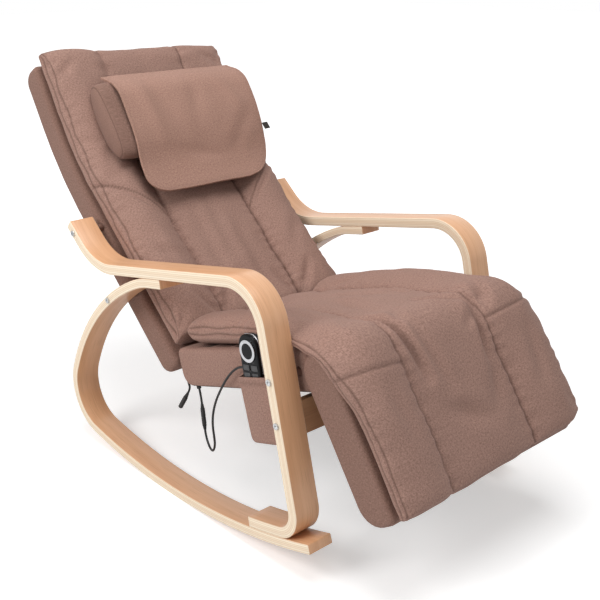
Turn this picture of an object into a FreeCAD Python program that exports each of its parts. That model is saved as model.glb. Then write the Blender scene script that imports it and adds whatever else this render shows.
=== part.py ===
import FreeCAD, Part
import math
import os
import re

from FreeCAD import Placement, Rotation, Vector

# Massage rocking chair. Millimetres, +Z up, the chair faces -Y, X runs across it.
# The origin is on the floor under the lowest point of the runners.

os.makedirs("parts", exist_ok=True)
doc = FreeCAD.newDocument("massage_rocking_chair")
sheet = doc.addObject("Spreadsheet::Sheet", "Sizes")

# Driving sizes

sizes = {
    # bent strips of the side frames
    "overall_width": 650,
    "side_gap": 13,
    "strip_width": 60,
    "arm_thickness": 23,
    "rocker_thickness": 20,
    "rocker_radius": 1520,
    "rocker_rear_reach": 388,
    "rear_bend_radius": 108,
    "rise_start_heading": 66.5,
    "rise_radius": 566,
    "lap_bend_radius": 220,
    "lap_straight": 50,
    "toe_reach": 462,
    "toe_bevel": 9,
    "arm_slope": 10.76,
    "arm_front_reach": 318,
    "leg_lean": 13.5,
    "front_bend_radius": 100,
    "foot_bend_radius": 60,
    "foot_end_reach": 285,
    "arm_rear_setback": 154,
    "arm_rear_rise": 249.02,
    "arm_end_rise": 40.6,
    "arm_end_length": 121,
    "arm_rear_bend_radius": 140,
    # bolts and stretcher
    "bolt_radius": 4,
    "bolt_head_radius": 6.5,
    "bolt_head_height": 3.5,
    "bolt_socket_radius": 2.6,
    "bolt_socket_depth": 2,
    "bolt_hole_clearance": 0.2,
    "rear_bolt_setback": 27,
    "stretcher_drop": 84,
    "stretcher_height": 64,
    "stretcher_thickness": 20,
    "barrel_nut_radius": 6,
    "barrel_nut_setback": 30,
    "barrel_nut_length": 15,
    "stretcher_bolt_bite": 42,
    "nut_plate_radius": 8,
    "nut_plate_thickness": 5,
    "spacer_radius": 9,
    # timber frames in the upholstery
    "rail_thickness": 20,
    "back_rail_depth": 60,
    "back_rail_start": 30,
    "back_rail_end": 430,
    "back_cross_depth": 36,
    # back
    "back_setback": 67.53,
    "back_drop": 24.78,
    "back_lower_slope": 43.1,
    "back_upper_slope": 59.4,
    "back_lower_length": 571.6,
    "back_upper_length": 257,
    "back_bend_radius": 900,
    "shell_thickness": 70,
    "shell_wall": 14,
    "shell_floor": 8,
    "shell_corner": 26,
    "shell_edge_round": 8,
    # seat and leg rest
    "knee_reach": 108,
    "knee_z": 410,
    "seat_slope": 17.4,
    "seat_length": 440,
    "seat_depth": 86,
    "seat_corner": 30,
    "seat_cross_setback": 40,
    "knee_clearance": 2,
    "leg_slope": 56,
    "leg_length": 292,
    "leg_depth": 80,
    "leg_spread": 23,
    "leg_corner": 46,
    "leg_rail_depth": 66,
    "leg_cross_run": 130,
    # pads
    "pad_seat_gap": 0.5,
    "pad_trim_gap": 0.3,
    "back_pad_start": 34,
    "back_pad_crest": 76,
    "seat_pad_inset": 2,
    "seat_pad_crest": 50,
    "knee_spread": 16,
    "knee_pad_crest": 27,
    "leg_pad_crest": 44,
    "leg_pad_short": 12,
    "panel_half_width": 112,
    "pad_tuck": 34,
    "pad_side_bulge": 4,
    "pad_end_draw": 6,
    "pad_end_round": 20,
    "recess_margin": 52,
    "recess_start": 56,
    "recess_end": 540,
    "recess_depth": 30,
    # head pillow and flap
    "pillow_inset": 57,
    "pillow_centre": 622,
    "pillow_height": 180,
    "pillow_depth": 50,
    "flap_left_inset": 112,
    "flap_right_inset": 16,
    "flap_thickness": 6,
    "flap_fold": 2,
    "flap_seam_lift": 9.5,
    "flap_top": 738,
    "flap_bottom": 412,
    "tab_width": 12,
    "tab_drop": 86,
    "tab_height": 22,
    "tab_thickness": 2,
    # massage carriage
    "guide_rod_radius": 7,
    "rod_margin": 102,
    "guide_height": 18,
    "bracket_thickness": 6,
    "bracket_overhang": 22,
    "bracket_height": 34,
    "screw_radius": 5,
    "running_clearance": 0.1,
    "travel_motor_length": 60,
    "travel_motor_width": 44,
    "travel_motor_height": 38,
    "screw_socket_depth": 10,
    "carriage_rest": 260,
    "carriage_half_length": 50,
    "carriage_overhang": 18,
    "carriage_plate_thickness": 6,
    "bush_half_width": 14,
    "bush_height": 20,
    "nut_half_width": 14,
    "nut_half_length": 18,
    "kneading_motor_radius": 11,
    "kneading_motor_length": 52,
    "gear_radius": 24,
    "gear_thickness": 8,
    "gear_hub_radius": 6,
    "worm_radius": 6,
    "worm_shaft_radius": 3,
    "worm_length": 30,
    "worm_bite": 10,
    "gear_gap": 0.6,
    "housing_wall": 3,
    "housing_height": 22,
    "head_arm_length": 40,
    "head_arm_width": 16,
    "head_arm_thickness": 5,
    "head_radius": 16,
    "head_sink": 3.5,
    # seat pieces
    "webbing_width": 50,
    "webbing_thickness": 2,
    "webbing_count": 5,
    "control_length": 120,
    "control_width": 80,
    "control_height": 40,
    "shaker_radius": 14,
    "shaker_length": 40,
    "shaker_shaft_radius": 2,
    "weight_radius": 12,
    "weight_thickness": 10,
    "shaker_bite": 10,
    "shaker_run": 200,
    "control_setin": 152,
    # leg rest hinge
    "hinge_inset": 49,
    "hinge_plate": 5,
    "hinge_gap": 0.3,
    "hinge_half_height": 13,
    "hinge_pin_radius": 4,
    "hinge_flange": 3,
    "hinge_slot": 38,
    "hinge_tail": 100,
    "hinge_slot_depth": 45,
    "hinge_flange_half_height": 20,
    "pin_overhang": 1.5,
    # handset and pocket
    "handset_lean": 12,
    "handset_setback": 184,
    "handset_drop": 8,
    "handset_standoff": 32,
    "handset_width": 56,
    "handset_top": 33,
    "handset_bottom": 142,
    "handset_back_depth": 10,
    "handset_face_depth": 8,
    "handset_corner": 12,
    "ring_radius": 22.5,
    "ring_width": 6.5,
    "ring_height": 3,
    "button_gap": 0.3,
    "button_proud": 2.5,
    "button_travel": 1,
    "button_floor_gap": 0.2,
    "button_sink": 3,
    "key_width": 18,
    "key_height": 11,
    "key_offset": 12.5,
    "key_first_drop": 34,
    "key_pitch": 16,
    "key_proud": 0.8,
    "gland_radius": 4.5,
    "gland_offset": 14,
    "gland_length": 10,
    "pocket_width": 110,
    "pocket_depth": 36,
    "pocket_height": 136,
    "pocket_wall": 2,
    "pocket_back_rise": 14,
    "pocket_setback": 213,
    "pocket_drop": 71,
    # cords
    "cord_radius": 2.5,
    "connector_radius": 5,
    "connector_length": 30,
    "power_socket_radius": 5.5,
    "power_socket_length": 44,
    "power_bore_radius": 2.75,
    "power_bore_depth": 10,
    "seat_gland_radius": 5,
    "seat_gland_height": 8,
    "lead_inset": 16,
    "lead_setin": 32,
    "lead_drop": 18,
    "joint_lean": 7.5,
    "power_inset": 37,
    "power_drop": 22,
    "power_run": 21,
    "power_tail": 16,
}

# Sizes that follow others

tied = {
    "shell_half_width": "(overall_width / 2 - strip_width - side_gap)",
    "leg_half_width": "(shell_half_width + leg_spread)",
    "seat_pad_half_width": "(shell_half_width - seat_pad_inset)",
    "knee_half_width": "(shell_half_width + knee_spread)",
    "recess_half_width": "(shell_half_width - recess_margin)",
    "pillow_half_length": "(shell_half_width - pillow_inset)",
    "guide_rod_spacing": "(2 * shell_half_width - 2 * rod_margin)",
    "bracket_half_width": "(guide_rod_spacing / 2 + bracket_overhang)",
    "carriage_half_width": "(guide_rod_spacing / 2 + carriage_overhang)",
    "gear_spacing": "(guide_rod_spacing / 2)",
    "hinge_centre": "(shell_half_width - hinge_inset)",
    "handset_face_x": "(-shell_half_width - handset_standoff)",
    "leg_pad_length": "(leg_length - leg_pad_short)",
    "seat_rear": "(leg_depth / 2 + knee_clearance + seat_length)",
    "knee_y": "(-arm_front_reach - knee_reach)",
}

for row, (alias, value) in enumerate(sizes.items(), start=1):
    sheet.set("A%d" % row, alias)
    sheet.set("B%d" % row, str(value))
    sheet.setAlias("B%d" % row, alias)
doc.recompute()


def bound(text):
    def spelled_out(word):
        alias = word.group(0)
        return bound(tied[alias]) if alias in tied else "Sizes." + alias
    return re.sub(r"[a-z][a-z_]+", spelled_out, text)


def mm(alias):
    return float(sheet.evalExpression(bound(alias)))


made = []


# Building helpers

def keep(label, shape_holder):
    shape_holder.Label = label
    made.append((label, shape_holder))
    return shape_holder


def origin_plane(body, role):
    for feature in body.Origin.OriginFeatures:
        if feature.Role == role:
            return feature


def side_sketch(body, name, outline, offset):
    sketch = body.newObject("Sketcher::SketchObject", name)
    sketch.AttachmentSupport = [(origin_plane(body, "YZ_Plane"), "")]
    sketch.MapMode = "FlatFace"
    sketch.setExpression("AttachmentOffset.Base.z", bound(offset))
    for piece in outline:
        sketch.addGeometry(piece, False)
    return sketch


def pad(body, sketch, length, name="Pad"):
    feature = body.newObject("PartDesign::Pad", name)
    feature.Profile = sketch
    feature.setExpression("Length", bound(length))
    doc.recompute()
    return feature


def pocket(body, sketch, length, name):
    before = body.Shape.Volume
    feature = body.newObject("PartDesign::Pocket", name)
    feature.Profile = sketch
    feature.setExpression("Length", bound(length))
    feature.Reversed = True
    doc.recompute()
    if body.Shape.Volume >= before:
        raise RuntimeError("nothing was cut by " + name)
    return feature


def slab(label, outline, offset, length):
    body = doc.addObject("PartDesign::Body", label)
    keep(label, body)
    pad(body, side_sketch(body, label + "_outline", outline, offset), length)
    return body


def round_rims(body, face_x):
    solid = body.Tip
    rims = []
    for number, edge in enumerate(body.Shape.Edges, start=1):
        reach = edge.BoundBox
        if reach.XLength < 1e-3 and abs(abs(reach.XMin) - face_x) < 1e-3:
            rims.append("Edge%d" % number)
    rounding = body.newObject("PartDesign::Fillet", "rim_rounding")
    rounding.Base = (solid, rims)
    rounding.setExpression("Radius", bound("shell_edge_round"))
    doc.recompute()


def box(name, length, width, height, corner, frame):
    solid = doc.addObject("Part::Box", name)
    solid.setExpression("Length", bound(length))
    solid.setExpression("Width", bound(width))
    solid.setExpression("Height", bound(height))
    solid.Placement = frame.multiply(Placement(Vector(*corner), Rotation()))
    return solid


along_x = Rotation(Vector(0, 1, 0), 90)
along_y = Rotation(Vector(1, 0, 0), -90)
along_z = Rotation()


def rod(name, radius, length, start, direction, frame):
    solid = doc.addObject("Part::Cylinder", name)
    solid.setExpression("Radius", bound(radius))
    solid.setExpression("Height", bound(length))
    solid.Placement = frame.multiply(Placement(Vector(*start), direction))
    return solid


def fuse(name, solids):
    union = doc.addObject("Part::MultiFuse", name)
    union.Shapes = solids
    return union


def cut(name, base, tools):
    result = doc.addObject("Part::Cut", name)
    result.Base = base
    result.Tool = tools[0] if len(tools) == 1 else fuse(name + "_tools", tools)
    return result


def group(name, solids):
    several = doc.addObject("Part::Compound", name)
    several.Links = solids
    return keep(name, several)


def formed(label, shape):
    feature = doc.addObject("Part::Feature", label)
    feature.Shape = shape
    feature.Placement = Placement()
    return keep(label, feature)


# Outline geometry in the side plane, where a point is (y, z)

def point(p):
    return Vector(p[0], p[1], 0)


def shifted(p, step, direction):
    return (p[0] + step * direction[0], p[1] + step * direction[1])


def unit(a, b):
    size = math.hypot(b[0] - a[0], b[1] - a[1])
    return ((b[0] - a[0]) / size, (b[1] - a[1]) / size)


def between(a, b, share=0.5):
    return (a[0] + share * (b[0] - a[0]), a[1] + share * (b[1] - a[1]))


def line(a, b):
    return Part.LineSegment(point(a), point(b))


def swept(centre, a, b):
    first = math.atan2(a[1] - centre[1], a[0] - centre[0])
    last = math.atan2(b[1] - centre[1], b[0] - centre[0])
    turn = (last - first) % (2 * math.pi)
    if turn < math.pi:
        return first, first + turn
    return last, last + 2 * math.pi - turn


def bend(centre, radius, a, b):
    circle = Part.Circle(point(centre), Vector(0, 0, 1), radius)
    return Part.ArcOfCircle(circle, *swept(centre, a, b))


def hole(centre, radius):
    return Part.Circle(point(centre), Vector(0, 0, 1), radius)


def rounded_outline(corners):
    trimmed = []
    for index, (here, radius) in enumerate(corners):
        back = unit(here, corners[index - 1][0])
        ahead = unit(here, corners[(index + 1) % len(corners)][0])
        half = math.acos(back[0] * ahead[0] + back[1] * ahead[1]) / 2
        run = radius / math.tan(half)
        inward = unit((0, 0), (back[0] + ahead[0], back[1] + ahead[1]))
        centre = shifted(here, radius / math.sin(half), inward)
        trimmed.append((shifted(here, run, back), shifted(here, run, ahead), centre, radius))
    pieces = []
    for index, (start, end, centre, radius) in enumerate(trimmed):
        if radius > 0:
            pieces.append(bend(centre, radius, start, end))
        following = trimmed[(index + 1) % len(trimmed)][0]
        if math.dist(end, following) > 1e-6:
            pieces.append(line(end, following))
    return pieces


def meet_circle(start, direction, centre, radius):
    away = (start[0] - centre[0], start[1] - centre[1])
    along = away[0] * direction[0] + away[1] * direction[1]
    square = along * along - (away[0] ** 2 + away[1] ** 2 - radius * radius)
    return shifted(start, -along + math.sqrt(square), direction)


# Local frames of the back, the seat, the leg rest and the handset

knee = (mm("knee_y"), mm("knee_z"))
lower_slope = math.radians(mm("back_lower_slope"))
upper_slope = math.radians(mm("back_upper_slope"))
seat_slope = math.radians(mm("seat_slope"))
leg_slope = math.radians(mm("leg_slope"))
lean = math.radians(mm("handset_lean"))


def tilted(origin, angle):
    return Placement(Vector(0, *origin), Rotation(Vector(1, 0, 0), math.degrees(angle)))


def local_point(origin, angle, run, lift):
    forward = (math.cos(angle), math.sin(angle))
    upward = (-math.sin(angle), math.cos(angle))
    return shifted(shifted(origin, run, forward), lift, upward)


back_foot = local_point(knee, -seat_slope, mm("seat_rear") + mm("back_setback"), -mm("back_drop"))
handset_centre = (knee[0] + mm("handset_setback"), knee[1] - mm("handset_drop"))
back_place = tilted(back_foot, lower_slope)
seat_place = tilted(knee, -seat_slope)
leg_place = tilted(knee, leg_slope)
handset_place = tilted(handset_centre, -lean)


def in_back(run, lift):
    return local_point(back_foot, lower_slope, run, lift)


def in_seat(run, lift):
    return local_point(knee, -seat_slope, run, lift)


def in_leg(run, lift):
    return local_point(knee, leg_slope, run, lift)


def in_handset(run, lift):
    return local_point(handset_centre, -lean, run, lift)


# Arm strips: rear end, arm, front leg and foot in one bent strip

half_width = mm("overall_width") / 2
inner_face = half_width - mm("strip_width")
arm_t = mm("arm_thickness")
rocker_t = mm("rocker_thickness")
arm_slope = math.radians(mm("arm_slope"))
arm_end_rise = math.radians(mm("arm_end_rise"))
leg_lean = math.radians(mm("leg_lean"))
arm_rearward = (math.cos(arm_slope), -math.sin(arm_slope))
arm_upward = (math.sin(arm_slope), math.cos(arm_slope))
end_rearward = (math.cos(arm_end_rise), math.sin(arm_end_rise))
end_upward = (-math.sin(arm_end_rise), math.cos(arm_end_rise))
leg_downward = (-math.sin(leg_lean), -math.cos(leg_lean))
leg_forward = (-math.cos(leg_lean), math.sin(leg_lean))
runner_centre = (0, mm("rocker_radius"))
runner_r = mm("rocker_radius")
runner_top_r = runner_r - rocker_t
rear_corner = (back_foot[0] + mm("arm_rear_setback"), back_foot[1] + mm("arm_rear_rise"))


def on_arm(y):
    return (y, rear_corner[1] - (y - rear_corner[0]) * math.tan(arm_slope))


def on_runner(y, radius):
    return (y, runner_centre[1] - math.sqrt(radius * radius - y * y))


rear_r = mm("arm_rear_bend_radius")
rear_run = rear_r * math.tan((arm_slope + arm_end_rise) / 2)
rear_a = shifted(rear_corner, -rear_run, arm_rearward)
rear_b = shifted(rear_corner, rear_run, end_rearward)
rear_centre = shifted(rear_a, rear_r, arm_upward)
arm_end = shifted(rear_corner, mm("arm_end_length"), end_rearward)

front_corner = on_arm(-mm("arm_front_reach"))
front_r = mm("front_bend_radius")
front_turn = math.pi / 2 - leg_lean + arm_slope
front_run = front_r * math.tan(front_turn / 2)
front_a = shifted(front_corner, front_run, arm_rearward)
front_b = shifted(front_corner, front_run, leg_downward)
front_centre = shifted(front_a, -front_r, arm_upward)

foot_r = mm("foot_bend_radius")
foot_centre = meet_circle(
    shifted(front_corner, -foot_r, leg_forward), leg_downward, runner_centre, runner_top_r - foot_r)
foot_a = shifted(foot_centre, foot_r, leg_forward)
foot_outward = unit(runner_centre, foot_centre)
foot_b = shifted(foot_centre, foot_r, foot_outward)
foot_end = on_runner(-mm("foot_end_reach"), runner_top_r)
foot_end_outward = unit(runner_centre, foot_end)


def arm_outline():
    under_end = shifted(arm_end, -arm_t, end_upward)
    under_rear_b = shifted(rear_b, -arm_t, end_upward)
    under_rear_a = shifted(rear_a, -arm_t, arm_upward)
    under_front_a = shifted(front_a, -arm_t, arm_upward)
    under_front_b = shifted(front_b, -arm_t, leg_forward)
    under_foot_a = shifted(foot_a, -arm_t, leg_forward)
    under_foot_b = shifted(foot_b, -arm_t, foot_outward)
    under_foot_end = shifted(foot_end, -arm_t, foot_end_outward)
    return [
        line(arm_end, rear_b),
        bend(rear_centre, rear_r, rear_b, rear_a),
        line(rear_a, front_a),
        bend(front_centre, front_r, front_a, front_b),
        line(front_b, foot_a),
        bend(foot_centre, foot_r, foot_a, foot_b),
        bend(runner_centre, runner_top_r, foot_b, foot_end),
        line(foot_end, under_foot_end),
        bend(runner_centre, runner_top_r - arm_t, under_foot_end, under_foot_b),
        bend(foot_centre, foot_r - arm_t, under_foot_b, under_foot_a),
        line(under_foot_a, under_front_b),
        bend(front_centre, front_r - arm_t, under_front_b, under_front_a),
        line(under_front_a, under_rear_a),
        bend(rear_centre, rear_r + arm_t, under_rear_a, under_rear_b),
        line(under_rear_b, under_end),
        line(under_end, arm_end),
    ]


# Rocker strips: runner, rear bend, rising curve and the lap under the arm

tail_r = mm("rear_bend_radius")
tail_y = mm("rocker_rear_reach") - tail_r
tail_centre = on_runner(tail_y, runner_r - tail_r)
tail_a = shifted(tail_centre, tail_r, unit(runner_centre, tail_centre))
rise_heading = math.radians(mm("rise_start_heading"))
rise_outward = (math.sin(rise_heading), math.cos(rise_heading))
tail_b = shifted(tail_centre, tail_r, rise_outward)
rise_r = mm("rise_radius")
rise_centre = shifted(tail_centre, tail_r - rise_r, rise_outward)
lap_r = mm("lap_bend_radius")
lap_start = shifted(on_arm(0), -arm_t - lap_r, arm_upward)
lap_centre = meet_circle(lap_start, arm_rearward, rise_centre, rise_r - lap_r)
lap_outward = unit(rise_centre, lap_centre)
lap_a = shifted(lap_centre, lap_r, lap_outward)
lap_b = shifted(lap_centre, lap_r, arm_upward)
lap_end = shifted(lap_b, -mm("lap_straight"), arm_rearward)
toe = on_runner(-mm("toe_reach"), runner_r)
toe_outward = unit(runner_centre, toe)


def rocker_outline():
    bevel = mm("toe_bevel")
    bevel_low = on_runner(-mm("toe_reach") + bevel, runner_r)
    bevel_high = shifted(toe, -bevel, toe_outward)
    inner_toe = shifted(toe, -rocker_t, toe_outward)
    inner_tail_a = shifted(tail_a, -rocker_t, unit(runner_centre, tail_centre))
    inner_tail_b = shifted(tail_b, -rocker_t, rise_outward)
    inner_lap_a = shifted(lap_a, -rocker_t, lap_outward)
    inner_lap_b = shifted(lap_b, -rocker_t, arm_upward)
    inner_lap_end = shifted(lap_end, -rocker_t, arm_upward)
    return [
        line(bevel_high, bevel_low),
        bend(runner_centre, runner_r, bevel_low, tail_a),
        bend(tail_centre, tail_r, tail_a, tail_b),
        bend(rise_centre, rise_r, tail_b, lap_a),
        bend(lap_centre, lap_r, lap_a, lap_b),
        line(lap_b, lap_end),
        line(lap_end, inner_lap_end),
        line(inner_lap_end, inner_lap_b),
        bend(lap_centre, lap_r - rocker_t, inner_lap_b, inner_lap_a),
        bend(rise_centre, rise_r - rocker_t, inner_lap_a, inner_tail_b),
        bend(tail_centre, tail_r - rocker_t, inner_tail_b, inner_tail_a),
        bend(runner_centre, runner_top_r, inner_tail_a, inner_toe),
        line(inner_toe, bevel_high),
    ]


# Bolt places: where a strip's middle line meets the rail that it is bolted to

leg_middle = shifted(front_corner, -arm_t / 2, leg_forward)
seat_rearward = (math.cos(seat_slope), -math.sin(seat_slope))
seat_upward = (math.sin(seat_slope), math.cos(seat_slope))
to_seat = (leg_middle[0] - knee[0]) * seat_upward[0] + (leg_middle[1] - knee[1]) * seat_upward[1]
per_step = leg_downward[0] * seat_upward[0] + leg_downward[1] * seat_upward[1]
seat_bolt = shifted(leg_middle, -to_seat / per_step, leg_downward)
stretcher_bolt = shifted(seat_bolt, mm("stretcher_drop"), leg_downward)
rear_bolt = shifted(shifted(arm_end, -mm("rear_bolt_setback"), end_rearward), -arm_t / 2, end_upward)
rail_middle = mm("shell_floor") + mm("back_rail_depth") - mm("rail_thickness") / 2
back_forward = (math.cos(lower_slope), math.sin(lower_slope))
rise_bolt = meet_circle(in_back(0, rail_middle), back_forward, rise_centre, rise_r - rocker_t / 2)
bolt_hole = mm("bolt_radius") + mm("bolt_hole_clearance")

sides = {"right": "-overall_width / 2", "left": "overall_width / 2 - strip_width"}
for side, offset in sides.items():
    arm = slab("arm_strip_" + side, arm_outline(), offset, "strip_width")
    drilled = [hole(p, bolt_hole) for p in (rear_bolt, seat_bolt, stretcher_bolt)]
    arm_holes = side_sketch(arm, "arm_holes_" + side, drilled, offset)
    pocket(arm, arm_holes, "strip_width", "holes_" + side)
    rocker = slab("rocker_" + side, rocker_outline(), offset, "strip_width")
    drilled = [hole(rise_bolt, bolt_hole)]
    rise_hole = side_sketch(rocker, "rocker_hole_" + side, drilled, offset)
    pocket(rocker, rise_hole, "strip_width", "hole_" + side)

# Front stretcher with a blind bolt hole and a barrel nut in each end

stretcher_place = tilted(stretcher_bolt, -leg_lean)
barrel_x = inner_face - mm("barrel_nut_setback")
tools = []
for sign in (-1, 1):
    start_x = -inner_face if sign < 0 else inner_face - mm("stretcher_bolt_bite")
    tools.append(rod("stretcher_hole", "bolt_radius + bolt_hole_clearance", "stretcher_bolt_bite",
                     (start_x, 0, 0), along_x, stretcher_place))
    tools.append(rod("nut_hole", "barrel_nut_radius", "barrel_nut_length",
                     (sign * barrel_x, -mm("barrel_nut_length") / 2, 0), along_y, stretcher_place))
board = box("stretcher_board", "overall_width - 2 * strip_width", "stretcher_thickness", "stretcher_height",
            (-inner_face, -mm("stretcher_thickness") / 2, -mm("stretcher_height") / 2), stretcher_place)
keep("front_stretcher", cut("front_stretcher", board, tools))

# Bolts through the strips, nut plates behind the rails, spacers beside the upholstery

shell_x = mm("shell_half_width")
rail_inner_x = shell_x - mm("shell_wall") - mm("rail_thickness")
flat = Placement()
bolts = []
nuts = []
spacers = []
bolt_places = {"rear": rear_bolt, "rise": rise_bolt, "seat": seat_bolt, "low": stretcher_bolt}
for sign in (-1, 1):
    for name, place in bolt_places.items():
        if name == "low":
            tip = "strip_width + stretcher_bolt_bite"
            tip_x = half_width - mm("strip_width") - mm("stretcher_bolt_bite")
        else:
            tip = "overall_width / 2 - shell_half_width + shell_wall + rail_thickness + nut_plate_thickness"
            tip_x = rail_inner_x - mm("nut_plate_thickness")
        shank_x = -half_width if sign < 0 else tip_x
        head_x = -half_width - mm("bolt_head_height") if sign < 0 else half_width
        socket_x = head_x if sign < 0 else head_x + mm("bolt_head_height") - mm("bolt_socket_depth")
        shank = rod("shank", "bolt_radius", tip, (shank_x, *place), along_x, flat)
        head = rod("head", "bolt_head_radius", "bolt_head_height", (head_x, *place), along_x, flat)
        key_socket = rod("key_socket", "bolt_socket_radius", "bolt_socket_depth",
                         (socket_x, *place), along_x, flat)
        bolts.append(cut("bolt", fuse("bolt_blank", [shank, head]), [key_socket]))
        if name == "low":
            barrel = rod("barrel", "barrel_nut_radius", "barrel_nut_length",
                         (sign * barrel_x, -mm("barrel_nut_length") / 2, 0), along_y, stretcher_place)
            thread = rod("thread", "bolt_radius", "4 * barrel_nut_radius",
                         (sign * barrel_x - 2 * mm("barrel_nut_radius"), 0, 0), along_x, stretcher_place)
            nuts.append(cut("barrel_nut", barrel, [thread]))
            continue
        plate_x = -rail_inner_x if sign < 0 else tip_x
        plate = rod("nut_plate", "nut_plate_radius", "nut_plate_thickness",
                    (plate_x, *place), along_x, flat)
        thread = rod("thread", "bolt_radius", "nut_plate_thickness",
                     (plate_x, *place), along_x, flat)
        nuts.append(cut("plate_nut", plate, [thread]))
        sleeve_x = -inner_face if sign < 0 else shell_x
        sleeve_length = "overall_width / 2 - strip_width - shell_half_width"
        sleeve = rod("sleeve", "spacer_radius", sleeve_length, (sleeve_x, *place), along_x, flat)
        bore = rod("bore", "bolt_radius + bolt_hole_clearance", sleeve_length,
                   (sleeve_x, *place), along_x, flat)
        spacers.append(cut("spacer", sleeve, [bore]))
group("frame_bolts", bolts)
group("frame_nuts", nuts)
group("bolt_spacers", spacers)

# Back shell: an upholstered tray that is open to the pad

back_turn = upper_slope - lower_slope
back_r = mm("back_bend_radius")
shell_t = mm("shell_thickness")
bend_vertex = in_back(mm("back_lower_length"), 0)


def shell_outline(rear, front, low, high, corner):
    split = back_turn / 2
    vertex_rear = local_point(bend_vertex, lower_slope + split, 0, rear / math.cos(split))
    vertex_front = local_point(bend_vertex, lower_slope + split, 0, front / math.cos(split))
    top = mm("back_upper_length") - high
    return rounded_outline([
        (in_back(low, rear), corner),
        (vertex_rear, back_r - rear),
        (local_point(bend_vertex, upper_slope, top, rear), corner),
        (local_point(bend_vertex, upper_slope, top, front), corner / 2),
        (vertex_front, back_r - front),
        (in_back(low, front), corner / 2),
    ])


shell = slab("back_shell", shell_outline(0, shell_t, 0, 0, mm("shell_corner")),
             "-shell_half_width", "2 * shell_half_width")
round_rims(shell, shell_x)
open_front = shell_t + mm("shell_floor")
hollow = shell_outline(mm("shell_floor"), open_front, mm("shell_wall"), mm("shell_wall"), 0)
pocket(shell, side_sketch(shell, "shell_hollow", hollow, "-shell_half_width + shell_wall"),
       "2 * shell_half_width - 2 * shell_wall", "shell_cavity")
drilled = [hole(p, bolt_hole) for p in (rear_bolt, rise_bolt)]
pocket(shell, side_sketch(shell, "shell_holes", drilled, "-shell_half_width"),
       "2 * shell_half_width", "shell_bolt_holes")

# Timber frame in the back

floor_h = mm("shell_floor")
rail_x = shell_x - mm("shell_wall")
run_a = mm("back_rail_start")
run_b = mm("back_rail_end")
rail_length = "back_rail_end - back_rail_start"
cross_length = "2 * shell_half_width - 2 * shell_wall - 2 * rail_thickness"
ladder = fuse("back_ladder", [
    box("back_rail", "rail_thickness", rail_length, "back_rail_depth",
        (-rail_x, run_a, floor_h), back_place),
    box("back_rail", "rail_thickness", rail_length, "back_rail_depth",
        (rail_inner_x, run_a, floor_h), back_place),
    box("back_cross", cross_length, "rail_thickness", "back_cross_depth",
        (-rail_inner_x, run_a, floor_h), back_place),
    box("back_cross", cross_length, "rail_thickness", "back_cross_depth",
        (-rail_inner_x, run_b - mm("rail_thickness"), floor_h), back_place),
])
through = [rod("back_hole", "bolt_radius + bolt_hole_clearance", "2 * shell_half_width",
               (-shell_x, *place), along_x, flat) for place in (rear_bolt, rise_bolt)]
keep("back_frame", cut("back_frame", ladder, through))
doc.recompute()

# Guide rods, brackets, travel motor and lead screw of the massage carriage

cross_a = run_a + mm("rail_thickness")
cross_b = run_b - mm("rail_thickness")
guide_h = floor_h + mm("guide_height")
rod_x = mm("guide_rod_spacing") / 2
rod_length = "back_rail_end - back_rail_start - 2 * rail_thickness"
group("guide_rods", [rod("guide_rod", "guide_rod_radius", rod_length, (sign * rod_x, cross_a, guide_h),
                         along_y, back_place) for sign in (-1, 1)])
brackets = []
for start in (cross_a, cross_b - mm("bracket_thickness")):
    plate = box("bracket_plate", "2 * bracket_half_width", "bracket_thickness", "bracket_height",
                (-mm("bracket_half_width"), start, floor_h), back_place)
    holes = [rod("rod_hole", "guide_rod_radius", "bracket_thickness",
                 (sign * rod_x, start, guide_h), along_y, back_place) for sign in (-1, 1)]
    holes.append(rod("screw_hole", "screw_radius + running_clearance", "bracket_thickness",
                     (0, start, guide_h), along_y, back_place))
    brackets.append(cut("bracket", plate, holes))
group("rod_brackets", brackets)

motor_a = cross_a + mm("bracket_thickness")
motor_b = motor_a + mm("travel_motor_length")
motor_block = box("motor_block", "travel_motor_width", "travel_motor_length", "travel_motor_height",
                  (-mm("travel_motor_width") / 2, motor_a, floor_h), back_place)
screw_start = motor_b - mm("screw_socket_depth")
screw_socket = rod("screw_socket", "screw_radius + running_clearance", "screw_socket_depth",
                   (0, screw_start, guide_h), along_y, back_place)
keep("travel_motor", cut("travel_motor", motor_block, [screw_socket]))
lead_length = ("back_rail_end - back_rail_start - 2 * rail_thickness - bracket_thickness"
               " - travel_motor_length + screw_socket_depth - 2 * running_clearance")
keep("lead_screw", rod("lead_screw", "screw_radius", lead_length,
                       (0, screw_start + mm("running_clearance"), guide_h), along_y, back_place))

# Carriage with its bushes, nut, gear housing and motor

middle = mm("carriage_rest")
plate_h = guide_h + mm("bush_height") / 2
deck_h = plate_h + mm("carriage_plate_thickness")
half_run = mm("carriage_half_length")
carriage_parts = [box("carriage_deck", "2 * carriage_half_width", "2 * carriage_half_length",
                      "carriage_plate_thickness",
                      (-mm("carriage_half_width"), middle - half_run, plate_h), back_place)]
bush_bores = []
for sign in (-1, 1):
    carriage_parts.append(box("bush", "2 * bush_half_width", "2 * carriage_half_length", "bush_height",
                              (sign * rod_x - mm("bush_half_width"), middle - half_run,
                               plate_h - mm("bush_height")), back_place))
    bush_bores.append(rod("bush_bore", "guide_rod_radius + running_clearance", "2 * carriage_half_length",
                          (sign * rod_x, middle - half_run, guide_h), along_y, back_place))
keep("carriage_plate", cut("carriage_plate", fuse("carriage_blank", carriage_parts), bush_bores))
nut_block = box("nut_block", "2 * nut_half_width", "2 * nut_half_length", "bush_height",
                (-mm("nut_half_width"), middle - mm("nut_half_length"), plate_h - mm("bush_height")),
                back_place)
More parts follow.
